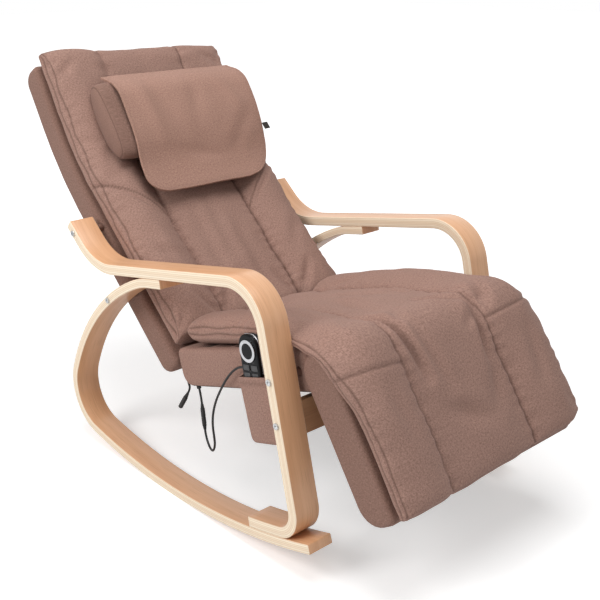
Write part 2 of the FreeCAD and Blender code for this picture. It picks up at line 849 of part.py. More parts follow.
nut_bore = rod("nut_bore", "screw_radius + running_clearance", "2 * nut_half_length",
               (0, middle - mm("nut_half_length"), guide_h), along_y, back_place)
keep("carriage_nut", cut("carriage_nut", nut_block, [nut_bore]))

gear_x = mm("gear_spacing") / 2
wall = mm("housing_wall")
gear_room = mm("gear_radius") + 2 * mm("gear_gap")
worm_run = mm("gear_radius") + mm("gear_gap") + mm("worm_radius")
worm_room = worm_run + mm("worm_radius") + 2 * mm("gear_gap")
worm_h = deck_h + mm("kneading_motor_radius")
housing_x = gear_x + gear_room + wall
half_housing = "gear_spacing / 2 + gear_radius + 2 * gear_gap"
housing_run = "2 * gear_radius + 5 * gear_gap + 2 * worm_radius"
housing_block = box("housing_block", "2 * (%s + housing_wall)" % half_housing,
                    housing_run + " + 2 * housing_wall", "housing_height",
                    (-housing_x, middle - gear_room - wall, deck_h), back_place)
housing_room = box("housing_room", "2 * (%s)" % half_housing, housing_run,
                   "housing_height - 2 * housing_wall",
                   (-housing_x + wall, middle - gear_room, deck_h + wall), back_place)
bores = [rod("hub_bore", "gear_hub_radius + running_clearance", "2 * housing_wall",
             (sign * gear_x, middle, deck_h + mm("housing_height") - 1.5 * wall), along_z, back_place)
         for sign in (-1, 1)]
bores.append(rod("worm_bore", "worm_shaft_radius + running_clearance",
                 "2 * (%s + housing_wall)" % half_housing,
                 (-housing_x, middle + worm_run, worm_h), along_x, back_place))
keep("gear_housing", cut("gear_housing", housing_block, [housing_room] + bores))
motor_body = rod("motor_body", "kneading_motor_radius", "kneading_motor_length",
                 (housing_x, middle + worm_run, worm_h), along_x, back_place)
motor_bore = rod("motor_bore", "worm_shaft_radius + running_clearance", "worm_bite + running_clearance",
                 (housing_x, middle + worm_run, worm_h), along_x, back_place)
keep("kneading_motor", cut("kneading_motor", motor_body, [motor_bore]))
worm_parts = [rod("worm_shaft", "worm_shaft_radius", "2 * (%s + housing_wall) + worm_bite" % half_housing,
                  (-housing_x, middle + worm_run, worm_h), along_x, back_place)]
for sign in (-1, 1):
    worm_parts.append(rod("worm_thread", "worm_radius", "worm_length",
                          (sign * gear_x - mm("worm_length") / 2, middle + worm_run, worm_h),
                          along_x, back_place))
keep("worm", fuse("worm", worm_parts))

# Kneading gears, head arms and massage heads

arm_h = deck_h + mm("housing_height") + mm("gear_gap")
head_h = arm_h + mm("head_arm_thickness") + mm("head_radius") - mm("head_sink")
for side, sign in (("right", -1), ("left", 1)):
    wheel = rod("gear_wheel", "gear_radius", "gear_thickness",
                (sign * gear_x, middle, worm_h - mm("gear_thickness") / 2), along_z, back_place)
    hub = rod("gear_hub", "gear_hub_radius", "housing_height - housing_wall + gear_gap - running_clearance",
              (sign * gear_x, middle, deck_h + wall + mm("running_clearance")), along_z, back_place)
    keep("kneading_gear_" + side, fuse("kneading_gear_" + side, [wheel, hub]))
    half_arm = mm("head_arm_width") / 2
    arm_corner = (sign * gear_x - half_arm, middle - mm("head_arm_length") - half_arm, arm_h)
    keep("head_arm_" + side, box("head_arm_" + side, "head_arm_width",
                                 "2 * head_arm_length + head_arm_width", "head_arm_thickness",
                                 arm_corner, back_place))
    heads = []
    for end in (-1, 1):
        head = doc.addObject("Part::Sphere", "massage_head")
        head.setExpression("Radius", bound("head_radius"))
        head.Angle1 = -math.degrees(math.asin(1 - mm("head_sink") / mm("head_radius")))
        head.Placement = back_place.multiply(Placement(
            Vector(sign * gear_x, middle + end * mm("head_arm_length"), head_h), Rotation()))
        heads.append(head)
    group("massage_heads_" + side, heads)

# Seat base: an upholstered tray that is open to the seat pad, with its timber frame

seat_front = mm("leg_depth") / 2 + mm("knee_clearance")
seat_rear = mm("seat_rear")
half_seat = mm("seat_depth") / 2
seat_base = slab("seat_base", rounded_outline([
    (in_seat(seat_front, -half_seat), mm("shell_corner") / 2),
    (in_seat(seat_rear, -half_seat), mm("seat_corner")),
    (in_seat(seat_rear, half_seat), mm("shell_corner") / 2),
    (in_seat(seat_front, half_seat), mm("shell_edge_round")),
]), "-shell_half_width", "2 * shell_half_width")
round_rims(seat_base, shell_x)
tray_wall = mm("shell_wall")
seat_floor = -half_seat + floor_h
seat_hollow = rounded_outline([
    (in_seat(seat_front + tray_wall, seat_floor), 0),
    (in_seat(seat_rear - tray_wall, seat_floor), 0),
    (in_seat(seat_rear - tray_wall, half_seat + floor_h), 0),
    (in_seat(seat_front + tray_wall, half_seat + floor_h), 0),
])
pocket(seat_base, side_sketch(seat_base, "seat_hollow", seat_hollow, "-shell_half_width + shell_wall"),
       "2 * shell_half_width - 2 * shell_wall", "seat_cavity")
pocket(seat_base, side_sketch(seat_base, "seat_hole", [hole(seat_bolt, bolt_hole)], "-shell_half_width"),
       "2 * shell_half_width", "seat_bolt_hole")

rail_height = "seat_depth - shell_floor - webbing_thickness"
side_length = "seat_length - 2 * shell_wall"
seat_ladder = fuse("seat_ladder", [
    box("seat_rail", "rail_thickness", side_length, rail_height,
        (-rail_x, seat_front + tray_wall, seat_floor), seat_place),
    box("seat_rail", "rail_thickness", side_length, rail_height,
        (rail_inner_x, seat_front + tray_wall, seat_floor), seat_place),
    box("seat_cross", cross_length, "rail_thickness", rail_height,
        (-rail_inner_x, seat_front + tray_wall + mm("seat_cross_setback"), seat_floor), seat_place),
    box("seat_cross", cross_length, "rail_thickness", rail_height,
        (-rail_inner_x, seat_rear - tray_wall - mm("rail_thickness"), seat_floor), seat_place),
])
seat_through = rod("seat_rail_hole", "bolt_radius + bolt_hole_clearance", "2 * shell_half_width",
                   (-shell_x, *seat_bolt), along_x, flat)
keep("seat_frame", cut("seat_frame", seat_ladder, [seat_through]))

straps = []
strap_count = int(mm("webbing_count"))
strap_a = seat_front + tray_wall + mm("rail_thickness")
strap_b = seat_rear - tray_wall - mm("rail_thickness") - mm("webbing_width")
for number in range(strap_count):
    run = strap_a + (strap_b - strap_a) * (number + 0.5) / strap_count
    straps.append(box("strap", "2 * shell_half_width - 2 * shell_wall", "webbing_width",
                      "webbing_thickness", (-rail_x, run, half_seat - mm("webbing_thickness")), seat_place))
group("seat_webbing", straps)

# Control box and vibration motor on the floor of the seat tray

keep("control_box", box("control_box", "control_length", "control_width", "control_height",
                        (-mm("control_length") / 2, seat_rear - mm("control_setin"), seat_floor), seat_place))
shaker_h = seat_floor + mm("shaker_radius")
shaker_x = mm("shaker_length") / 2
shaker_body = rod("shaker_body", "shaker_radius", "shaker_length",
                  (-shaker_x, mm("shaker_run"), shaker_h), along_x, seat_place)
bore_end = shaker_x - mm("shaker_bite") - mm("running_clearance")
shaker_bore = rod("shaker_bore", "shaker_shaft_radius + running_clearance",
                  "shaker_bite + running_clearance",
                  (bore_end, mm("shaker_run"), shaker_h), along_x, seat_place)
keep("vibration_motor", cut("vibration_motor", shaker_body, [shaker_bore]))
weight = rod("weight", "weight_radius", "weight_thickness",
             (shaker_x + mm("gear_gap"), mm("shaker_run"), shaker_h), along_x, seat_place)
weight.Angle = 180
weight_shaft = rod("weight_shaft", "shaker_shaft_radius", "shaker_bite + gear_gap + weight_thickness",
                   (shaker_x - mm("shaker_bite"), mm("shaker_run"), shaker_h), along_x, seat_place)
keep("eccentric_weight", fuse("eccentric_weight", [weight, weight_shaft]))

# Leg rest: an upholstered tray that is round about the knee hinge, with its timber frame

half_leg = mm("leg_depth") / 2
leg_end = -mm("leg_length")
leg_shell = slab("leg_shell", rounded_outline([
    (in_leg(half_leg, half_leg), half_leg),
    (in_leg(leg_end, half_leg), mm("shell_corner") / 2),
    (in_leg(leg_end, -half_leg), mm("leg_corner")),
    (in_leg(half_leg, -half_leg), half_leg),
]), "-leg_half_width", "2 * leg_half_width")
round_rims(leg_shell, mm("leg_half_width"))
leg_floor = -half_leg + floor_h
cavity_top = -mm("hinge_slot_depth")
leg_hollow = rounded_outline([
    (in_leg(leg_end + tray_wall, leg_floor + mm("leg_corner") - tray_wall), 0),
    (in_leg(leg_end + mm("leg_corner"), leg_floor), 0),
    (in_leg(cavity_top, leg_floor), 0),
    (in_leg(cavity_top, half_leg + floor_h), 0),
    (in_leg(leg_end + tray_wall, half_leg + floor_h), 0),
])
pocket(leg_shell, side_sketch(leg_shell, "leg_hollow", leg_hollow, "-leg_half_width + shell_wall"),
       "2 * leg_half_width - 2 * shell_wall", "leg_cavity")
slot = rounded_outline([
    (in_leg(cavity_top, -half_leg - floor_h), 0),
    (in_leg(half_leg + floor_h, -half_leg - floor_h), 0),
    (in_leg(half_leg + floor_h, half_leg + floor_h), 0),
    (in_leg(cavity_top, half_leg + floor_h), 0),
])
slot_starts = {"right": "-hinge_centre - hinge_slot / 2", "left": "hinge_centre - hinge_slot / 2"}
for side, start in slot_starts.items():
    slot_sketch = side_sketch(leg_shell, "slot_" + side, slot, start)
    pocket(leg_shell, slot_sketch, "hinge_slot", "hinge_slot_" + side)

plate_t = mm("hinge_plate")
leg_plate_x = mm("hinge_centre") + mm("hinge_gap")
leg_rail_x = leg_plate_x + plate_t
leg_rail_a = leg_end + mm("leg_corner")
leg_rail_length = "leg_length - leg_corner - hinge_slot_depth"
leg_span = "2 * (hinge_centre + hinge_gap + hinge_plate)"
keep("leg_frame", fuse("leg_frame", [
    box("leg_rail", "rail_thickness", leg_rail_length, "leg_rail_depth",
        (-leg_rail_x - mm("rail_thickness"), leg_rail_a, leg_floor), leg_place),
    box("leg_rail", "rail_thickness", leg_rail_length, "leg_rail_depth",
        (leg_rail_x, leg_rail_a, leg_floor), leg_place),
    box("leg_cross", leg_span, "rail_thickness", "leg_rail_depth",
        (-leg_rail_x, leg_rail_a, leg_floor), leg_place),
    box("leg_cross", leg_span, "rail_thickness", "leg_rail_depth",
        (-leg_rail_x, -mm("leg_cross_run"), leg_floor), leg_place),
]))

# Hinges between the seat base and the leg rest

half_hinge = mm("hinge_half_height")
seat_plates = []
leg_plates = []
pins = []
for sign in (-1, 1):
    seat_plate_x = -mm("hinge_centre") if sign < 0 else mm("hinge_centre") - plate_t
    arm_plate = box("seat_plate", "hinge_plate", "leg_depth / 2 + knee_clearance", "2 * hinge_half_height",
                    (seat_plate_x, 0, -half_hinge), seat_place)
    eye = rod("seat_eye", "hinge_half_height", "hinge_plate", (seat_plate_x, 0, 0), along_x, seat_place)
    flange_x = -mm("hinge_centre") if sign < 0 else mm("hinge_centre") - mm("hinge_slot") / 2 + plate_t / 2
    flange_corner = (flange_x, seat_front - mm("hinge_flange"), -mm("hinge_flange_half_height"))
    flange = box("flange", "hinge_slot / 2 - hinge_plate / 2", "hinge_flange",
                 "2 * hinge_flange_half_height", flange_corner, seat_place)
    pin_hole = rod("pin_hole", "hinge_pin_radius", "hinge_plate", (seat_plate_x, 0, 0), along_x, seat_place)
    seat_plates.append(cut("seat_hinge", fuse("seat_hinge_blank", [arm_plate, eye, flange]), [pin_hole]))
    tail_x = -leg_rail_x if sign < 0 else leg_plate_x
    tail = box("leg_plate", "hinge_plate", "hinge_tail", "2 * hinge_half_height",
               (tail_x, -mm("hinge_tail"), -half_hinge), leg_place)
    leg_eye = rod("leg_eye", "hinge_half_height", "hinge_plate", (tail_x, 0, 0), along_x, leg_place)
    leg_hole = rod("leg_hole", "hinge_pin_radius + running_clearance", "hinge_plate",
                   (tail_x, 0, 0), along_x, leg_place)
    leg_plates.append(cut("leg_hinge", fuse("leg_hinge_blank", [tail, leg_eye]), [leg_hole]))
    pin_end = leg_rail_x if sign < 0 else plate_t - mm("hinge_centre")
    pin_x = -pin_end - mm("pin_overhang")
    pins.append(rod("hinge_pin", "hinge_pin_radius", "2 * hinge_plate + hinge_gap + 2 * pin_overhang",
                    (pin_x, 0, 0), along_x, seat_place))
group("seat_hinge_plates", seat_plates)
group("leg_hinge_plates", leg_plates)
group("hinge_pins", pins)
doc.recompute()

# Pads: crowned sections with two channels and drawn-in sides, lofted along the seat and back

low_share = 0.30
high_share = 0.72
valley_share = 0.66
panel_share = 0.84
under_reach = 0.3
under_share = 0.4
crown_share = 1.02


def curve(frame, points):
    return Part.Arc(*[frame(*p) for p in points]).toShape()


def pad_section(frame, width, crest):
    tuck = width - mm("pad_tuck")
    edge = width - mm("pad_side_bulge")
    panel = mm("panel_half_width")
    low = low_share * crest
    high = high_share * crest
    valley = valley_share * crest
    under = (width - under_reach * mm("pad_tuck"), under_share * low)
    top = ((edge + panel) / 2, crest)
    mid_side = (low + high) / 2
    edges = [
        Part.LineSegment(frame(-tuck, 0), frame(tuck, 0)).toShape(),
        curve(frame, [(tuck, 0), under, (edge, low)]),
        curve(frame, [(edge, low), (width, mid_side), (edge, high)]),
        curve(frame, [(edge, high), top, (panel, valley)]),
        curve(frame, [(panel, valley), (0, panel_share * crest), (-panel, valley)]),
        curve(frame, [(-panel, valley), (-top[0], top[1]), (-edge, high)]),
        curve(frame, [(-edge, high), (-width, mid_side), (-edge, low)]),
        curve(frame, [(-edge, low), (-under[0], under[1]), (-tuck, 0)]),
    ]
    return Part.Wire(edges)


def across(base, upward):
    def place(x, lift):
        y, z = shifted(base, lift, upward)
        return Vector(x, y, z)
    return place


def loft(sections):
    return Part.makeLoft(sections, True, False)


def trimmed(cushion, frame, lift):
    reach = mm("overall_width")
    below = Part.makeBox(2 * reach, 2 * reach, mm("pad_tuck"))
    corner = Vector(-reach, -reach, lift + mm("pad_trim_gap") - mm("pad_tuck"))
    below.Placement = frame.multiply(Placement(corner, Rotation()))
    return cushion.cut(below)


gap = mm("pad_seat_gap")
end_round = mm("pad_end_round")
end_draw = mm("pad_end_draw")
end_shares = ((0, 0.55, 1), (0.25, 0.80, 0.35), (1, 1, 0))
back_straight = mm("back_lower_length") - back_r * math.tan(back_turn / 2)
back_curved = back_straight + back_r * back_turn
back_top = back_curved + mm("back_upper_length") - back_r * math.tan(back_turn / 2)


def along_back(run):
    if run <= back_straight:
        return in_back(run, 0), lower_slope
    start = in_back(back_straight, 0)
    centre = local_point(start, lower_slope, 0, back_r)
    if run <= back_curved:
        angle = lower_slope + (run - back_straight) / back_r
        return local_point(centre, angle, 0, -back_r), angle
    start = local_point(centre, upper_slope, 0, -back_r)
    return local_point(start, upper_slope, run - back_curved, 0), upper_slope


def back_section(run, width, crest):
    base, angle = along_back(run)
    upward = (-math.sin(angle), math.cos(angle))
    return pad_section(across(shifted(base, shell_t + gap, upward), upward), width, crest)


crest = mm("back_pad_crest")
width = shell_x
first = mm("back_pad_start")
stations = [(first + end_round * step, width - end_draw * draw, crest * share)
            for step, share, draw in end_shares]
inner_runs = 6
for number in range(1, inner_runs):
    run = first + end_round + (back_top - first - 2 * end_round) * number / inner_runs
    stations.append((run, width, crest))
stations += [(back_top - end_round * step, width - end_draw * draw, crest * share)
             for step, share, draw in reversed(end_shares)]
back_cushion = loft([back_section(*station) for station in stations])
recess = Part.makeBox(2 * mm("recess_half_width"), mm("recess_end") - mm("recess_start"),
                      mm("recess_depth") + floor_h)
recess.Placement = back_place.multiply(Placement(
    Vector(-mm("recess_half_width"), mm("recess_start"), shell_t + gap - floor_h), Rotation()))
formed("back_pad", back_cushion.cut(recess))

# Seat pad: its rear end leans with the back pad, its front end thins toward the knee

seat_pad_h = half_seat + gap
front_face = shell_t + gap + crest + 2 * gap


def seat_section(run, width, crest, leaning):
    base = in_seat(run, seat_pad_h)
    tilt = leaning * (lower_slope + seat_slope - math.pi / 2)
    upward = (math.sin(seat_slope - tilt), math.cos(seat_slope - tilt))
    return pad_section(across(base, upward), width, crest / math.cos(tilt))


lean_of_back = lower_slope + seat_slope
foot_run = (back_foot[0] - knee[0]) * seat_rearward[0] + (back_foot[1] - knee[1]) * seat_rearward[1]
foot_lift = (back_foot[0] - knee[0]) * seat_upward[0] + (back_foot[1] - knee[1]) * seat_upward[1]
rear_offset = front_face - (seat_pad_h - foot_lift) * math.cos(lean_of_back)
rear_limit = foot_run - rear_offset / math.sin(lean_of_back)
seat_crest = mm("seat_pad_crest")
seat_w = mm("seat_pad_half_width")
knee_w = mm("knee_half_width")
knee_crest = mm("knee_pad_crest")
tucked_share = 0.80
thin_quarter = seat_crest + (knee_crest - seat_crest) / 4
thin_most = seat_crest + (knee_crest - seat_crest) * 2 / 3
wide_part = seat_w + (knee_w - seat_w) * 0.4
seat_cushion = loft([
    seat_section(rear_limit, seat_w - end_draw, seat_crest * tucked_share, 1),
    seat_section(rear_limit - end_round, seat_w, seat_crest, tucked_share),
    seat_section(rear_limit * 2 / 3, seat_w, seat_crest, 0),
    seat_section(rear_limit / 3, seat_w, thin_quarter, 0),
    seat_section(mm("strip_width"), wide_part, thin_most, 0),
    seat_section(gap, knee_w, knee_crest, 0),
])
formed("seat_pad", trimmed(seat_cushion, seat_place, half_seat))

# Knee section: the pad's soft fold over the hinge

leg_crest = mm("leg_pad_crest")
leg_w = mm("leg_half_width")


def knee_section(share, width, crest):
    first_angle = math.pi / 2 - seat_slope
    last_angle = math.pi / 2 + leg_slope
    margin = gap / seat_pad_h
    angle = first_angle + margin + (last_angle - first_angle - 2 * margin) * share
    outward = (math.cos(angle), math.sin(angle))
    return pad_section(across(shifted(knee, seat_pad_h, outward), outward), width, crest)


knee_steps = 4
knee_sections = []
for number in range(knee_steps + 1):
    share = number / knee_steps
    knee_sections.append(knee_section(share, knee_w + (leg_w - knee_w) * share,
                                      knee_crest + (leg_crest - knee_crest) * share))
formed("knee_pad", loft(knee_sections))

# Leg pad


def leg_section(run, width, crest):
    upward = (-math.sin(leg_slope), math.cos(leg_slope))
    return pad_section(across(in_leg(run, half_leg + gap), upward), width, crest)


leg_run = mm("leg_pad_length")
leg_steps = 5
leg_sections = [leg_section(-gap, leg_w, leg_crest)]
for number in range(1, leg_steps):
    leg_sections.append(leg_section(-leg_run * number / leg_steps, leg_w, leg_crest))
for step, share, draw in reversed(end_shares):
    leg_sections.append(leg_section(-leg_run + end_round * step, leg_w - end_draw * draw,
                                    leg_crest * share))
formed("leg_pad", trimmed(loft(leg_sections), leg_place, half_leg))

# Head pillow: a flattened bolster on the back pad

pillow_base, pillow_angle = along_back(mm("pillow_centre"))
pillow_up = (-math.sin(pillow_angle), math.cos(pillow_angle))
pad_top = shell_t + 2 * gap + crest * crown_share
pillow_base = shifted(pillow_base, pad_top, pillow_up)
pillow_d = mm("pillow_depth")
pillow_half = mm("pillow_height") / 2


def pillow_point(x, run, lift):
    y, z = local_point(pillow_base, pillow_angle, run, lift)
    return Vector(x, y, z)


def pillow_section(x, share):
    def place(run, lift):
        return pillow_point(x, run * share * pillow_half, (0.5 + (lift - 0.5) * share) * pillow_d)
    corners = [(1, 0.46), (0, 1), (-1, 0.46), (0, 0)]
    middles = [(0.74, 0.86), (-0.74, 0.86), (-0.74, 0.12), (0.74, 0.12)]
    arcs = []
    for number in range(4):
        start, end = corners[number], corners[(number + 1) % 4]
        arcs.append(curve(place, [start, middles[number], end]))
    return Part.Wire(arcs)


pillow_x = mm("pillow_half_length")
pillow_ends = ((0, 0.40), (6, 0.70), (22, 0.92), (70, 1), (130, 1))
pillow_stations = [(-pillow_x + step, share) for step, share in pillow_ends]
pillow_stations += [(pillow_x - step, share) for step, share in reversed(pillow_ends)]
formed("head_pillow", loft([pillow_section(*station) for station in pillow_stations]))

# Flap: thick cloth sewn to the pad's top and hung over the pillow

flap_t = mm("flap_thickness")
flap_a = mm("flap_top") - mm("pillow_centre")
flap_b = mm("flap_bottom") - mm("pillow_centre")
pillow_crown = 1.066
over = pillow_d * pillow_crown + 2 * gap
tab_level = 0.86 * over


def pad_rise(run):
    base, angle = along_back(mm("pillow_centre") + run)
    upward = (-math.sin(angle), math.cos(angle))
    y, z = shifted(base, pad_top, upward)
    return (y - pillow_base[0]) * pillow_up[0] + (z - pillow_base[1]) * pillow_up[1]


def flap_section(x, fold):
    def lower(run, lift):
        return pillow_point(x, run, lift + fold)

    def upper(run, lift):
        return pillow_point(x, run, lift + fold + flap_t)
    sewn = (flap_a, pad_rise(flap_a) + mm("flap_seam_lift"))
    upper_side = (0.5 * pillow_half, over)
    lower_side = (-0.5 * pillow_half, over)
    hang = (-1.4 * pillow_half, 0.74 * over)
    low_end = (flap_b, pad_rise(flap_b) + flap_t)
    runs = [
        [sewn, (0.95 * pillow_half, 0.72 * over), upper_side],
        [upper_side, (0, over + gap), lower_side],
        [lower_side, (-0.95 * pillow_half, tab_level), hang],
        [hang, ((flap_b + hang[0]) / 2, 0.66 * over), low_end],
    ]
    edges = [curve(lower, arc) for arc in runs]
    edges.append(Part.LineSegment(lower(*runs[-1][-1]), upper(*runs[-1][-1])).toShape())
    edges += [curve(upper, arc[::-1]) for arc in reversed(runs)]
    edges.append(Part.LineSegment(upper(*runs[0][0]), lower(*runs[0][0])).toShape())
    return Part.Wire(edges)


flap_count = 6
flap_left = mm("flap_left_inset") - shell_x
flap_right = shell_x - mm("flap_right_inset")
flap_span = flap_right - flap_left
flap_sections = [flap_section(flap_left + flap_span * number / flap_count,
                              mm("flap_fold") * (number % 2)) for number in range(flap_count + 1)]
formed("pillow_flap", loft(flap_sections))
tab_place = tilted(pillow_base, pillow_angle)
keep("blank_tab", box("blank_tab", "tab_width", "tab_height", "tab_thickness",
                      (flap_right, -mm("tab_drop") - mm("tab_height") / 2, tab_level + flap_t / 2),
                      tab_place))

# Handset: back and face shells, ring, power button and keys

face_x = mm("handset_face_x")
half_handset = mm("handset_width") / 2
handset_outline = rounded_outline([
    (in_handset(-half_handset, -mm("handset_bottom")), mm("handset_corner")),
    (in_handset(half_handset, -mm("handset_bottom")), mm("handset_corner")),
    (in_handset(half_handset, mm("handset_top")), mm("handset_corner")),
    (in_handset(-half_handset, mm("handset_top")), mm("handset_corner")),
])
slab("handset_back", handset_outline, "handset_face_x + handset_face_depth", "handset_back_depth")
face = slab("handset_face", handset_outline, "handset_face_x", "handset_face_depth")
well_r = mm("ring_radius") - mm("ring_width")
well_depth = "button_sink + button_travel + button_floor_gap"


def key_outline(column, row, extra):
    run = column * mm("key_offset")
    lift = -mm("key_first_drop") - row * mm("key_pitch")
    half_w = mm("key_width") / 2 + extra
    half_h = mm("key_height") / 2 + extra
    return rounded_outline([
        (in_handset(run - half_w, lift - half_h), half_h / 3),
        (in_handset(run + half_w, lift - half_h), half_h / 3),
        (in_handset(run + half_w, lift + half_h), half_h / 3),
        (in_handset(run - half_w, lift + half_h), half_h / 3),
    ])


keys = {
    "key_upper_rear": (1, 0),
    "key_upper_front": (-1, 0),
    "key_lower_rear": (1, 1),
    "key_lower_front": (-1, 1),
}
wells = [hole(handset_centre, well_r)]
for column, row in keys.values():
    wells += key_outline(column, row, mm("button_gap"))
pocket(face, side_sketch(face, "face_wells", wells, "handset_face_x"), well_depth, "wells")
slab("handset_ring", [hole(handset_centre, mm("ring_radius")), hole(handset_centre, well_r)],
     "handset_face_x - ring_height", "ring_height")
slab("power_button", [hole(handset_centre, well_r - mm("button_gap"))],
     "handset_face_x - button_proud", "button_proud + button_sink")
for label, (column, row) in keys.items():
    slab(label, key_outline(column, row, 0), "handset_face_x - key_proud", "key_proud + button_sink")
gland_x = face_x + (mm("handset_face_depth") + mm("handset_back_depth")) / 2
gland_low = -mm("handset_bottom") - mm("gland_length")
keep("handset_gland", rod("handset_gland", "gland_radius", "gland_length",
                          (gland_x, -mm("gland_offset"), gland_low), along_z, handset_place))

# Side pocket for the handset, sewn to the seat base

mouth = (knee[0] + mm("pocket_setback"), knee[1] - mm("pocket_drop"))


def in_pocket(run, lift):
    return local_point(mouth, -seat_slope, run, lift)


pouch_w = mm("pocket_width")
pouch_h = mm("pocket_height")
pouch_wall = mm("pocket_wall")
pouch_round = mm("seat_corner")
pouch = slab("handset_pocket", rounded_outline([
    (in_pocket(0, 0), 0), (in_pocket(0, -pouch_h), pouch_round),
    (in_pocket(-pouch_w, -pouch_h), pouch_round), (in_pocket(-pouch_w, 0), 0),
]), "-shell_half_width - pocket_depth", "pocket_depth")
inner_round = pouch_round - pouch_wall
pouch_hollow = rounded_outline([
    (in_pocket(-pouch_wall, floor_h), 0),
    (in_pocket(-pouch_wall, -pouch_h + pouch_wall), inner_round),
    (in_pocket(-pouch_w + pouch_wall, -pouch_h + pouch_wall), inner_round),
    (in_pocket(-pouch_w + pouch_wall, floor_h), 0),
])
hollow_sketch = side_sketch(pouch, "pouch_hollow", pouch_hollow,
                            "-shell_half_width - pocket_depth + pocket_wall")
pocket(pouch, hollow_sketch, "pocket_depth - 2 * pocket_wall", "pouch_cavity")
rise = mm("pocket_back_rise")
hem = rounded_outline([(in_pocket(0, 0), 0), (in_pocket(-pouch_w, 0), 0),
                       (in_pocket(-pouch_w, rise), 0), (in_pocket(0, rise), 0)])
pad(pouch, side_sketch(pouch, "pouch_hem", hem, "-shell_half_width - pocket_wall"), "pocket_wall", "hem")

# Cords with their connectors and glands

bend_share = 0.45


def cord(label, points):
    nodes = [Vector(*p) for p in points]
    edges = []
    radii = []
    previous = nodes[0]
    length = 0
    for number in range(1, len(nodes) - 1):
        here = nodes[number]
        into = nodes[number - 1] - here
        out = nodes[number + 1] - here
        turn = math.pi - into.getAngle(out)
        run = bend_share * min(into.Length, out.Length)
        radius = run / math.tan(turn / 2)
        radii.append(round(radius, 1))
        start = here + into * (run / into.Length)
        end = here + out * (run / out.Length)
        centre_way = into * (1 / into.Length) + out * (1 / out.Length)
        centre = here + centre_way * (math.hypot(radius, run) / centre_way.Length)
        arc_middle = centre + (here - centre) * (radius / (here - centre).Length)
        edges.append(Part.LineSegment(previous, start).toShape())
        edges.append(Part.Arc(start, arc_middle, end).toShape())
        length += (start - previous).Length + radius * turn
        previous = end
    edges.append(Part.LineSegment(previous, nodes[-1]).toShape())
    length += (nodes[-1] - previous).Length
    path = Part.Wire(edges)
    ring = Part.Wire(Part.Circle(nodes[0], nodes[1] - nodes[0], mm("cord_radius")).toShape())
    tube = path.makePipeShell([ring], True, False)
    plain_volume = math.pi * mm("cord_radius") ** 2 * length
    print(label, round(length), "mm long, volume ratio", round(tube.Volume / plain_volume, 4))
    print("  bend radii", radii)
    return formed(label, tube)


def barrel(name, radius, length, start, direction):
    solid = doc.addObject("Part::Cylinder", name)
    solid.setExpression("Radius", bound(radius))
    solid.setExpression("Height", bound(length))
    solid.Placement = Placement(Vector(*start), Rotation(Vector(0, 0, 1), Vector(*direction)))
    return solid


cord_x = mm("lead_inset") - shell_x
cord_run = seat_rear - mm("lead_setin")
gland_end = -half_seat - mm("seat_gland_height")
seat_gland = rod("seat_gland", "seat_gland_radius", "seat_gland_height",
                 (cord_x, cord_run, gland_end), along_z, seat_place)
lead_start = in_seat(cord_run, gland_end)
lead_bend = in_seat(cord_run, gland_end - mm("lead_drop"))
joint_lean = math.radians(mm("joint_lean"))
joint_way = (-math.sin(joint_lean), -math.cos(joint_lean))
joint_top = shifted(lead_bend, mm("lead_drop"), joint_way)
joint_middle = shifted(joint_top, mm("connector_length"), joint_way)
joint_end = shifted(joint_middle, mm("connector_length"), joint_way)
cord("handset_lead", [(cord_x, *lead_start), (cord_x, *lead_bend), (cord_x, *joint_top)])
way = (0, *joint_way)
for label, start in (("connector_socket", joint_top), ("connector_plug", joint_middle)):
    keep(label, barrel(label, "connector_radius", "connector_length", (cord_x, *start), way))
inside_x = -mm("shell_half_width") - pouch_wall - 2 * mm("cord_radius") - 2 * gap


def loop_point(x, y, z):
    return (cord_x + x, joint_end[0] + y, joint_end[1] + z)


def mouth_point(x, y, z):
    return (cord_x + x, mouth[0] + y, mouth[1] + z)


tip = in_handset(-mm("gland_offset"), gland_low)
before_tip = in_handset(-mm("gland_offset"), gland_low - mm("lead_drop"))
cord("handset_cord", [
    (cord_x, *joint_end),
    loop_point(0, -2.15, -16.35),
    loop_point(-7, -24.6, -33.3),
    loop_point(-16, -48.6, -29.3),
    loop_point(-23, -65.6, -5.3),
    mouth_point(-28, 115, -188),
    mouth_point(-30, 117, -161),
    mouth_point(-30, 115, -133),
    mouth_point(-30, 104, -99),
    mouth_point(-30, 84, -63),
    mouth_point(-30, 63, -31),
    mouth_point(-29, 43, -8),
    mouth_point(-27, 23, 7),
    (inside_x, *in_pocket(-2, 9)),
    (inside_x, *in_pocket(-12, -10)),
    (inside_x, *in_pocket(-13, -40)),
    (inside_x, *in_pocket(-12, -72)),
    (inside_x, *in_pocket(-12.5, -96)),
    (inside_x, *in_pocket(-12, -117)),
    (inside_x - 4, *in_pocket(-21, -128)),
    (inside_x - 10, *in_pocket(-34, -129)),
    (gland_x, *before_tip),
    (gland_x, *tip),
])
power_x = mm("power_inset") - shell_x
power_lift = -mm("power_drop")
power_start = (power_x, seat_rear, power_lift)
power_gland = rod("power_gland", "seat_gland_radius", "seat_gland_height", power_start, along_y, seat_place)
group("cord_glands", [seat_gland, power_gland])
power_out = in_seat(seat_rear + mm("seat_gland_height"), power_lift)
socket_way = (-0.21, 0.43, -0.88)
socket_top = (power_x, power_out[0] + 27, power_out[1] - 60.5)
cord("power_lead", [
    (power_x, *power_out),
    (power_x, *in_seat(seat_rear + mm("seat_gland_height") + mm("power_run"), power_lift)),
    (power_x, power_out[0] + 25, power_out[1] - 30.5),
    [socket_top[axis] - mm("power_tail") * socket_way[axis] for axis in range(3)],
    socket_top,
])
socket_body = barrel("socket_body", "power_socket_radius", "power_socket_length", socket_top, socket_way)
size = math.sqrt(sum(part * part for part in socket_way))
bore_step = (mm("power_socket_length") - mm("power_bore_depth")) / size
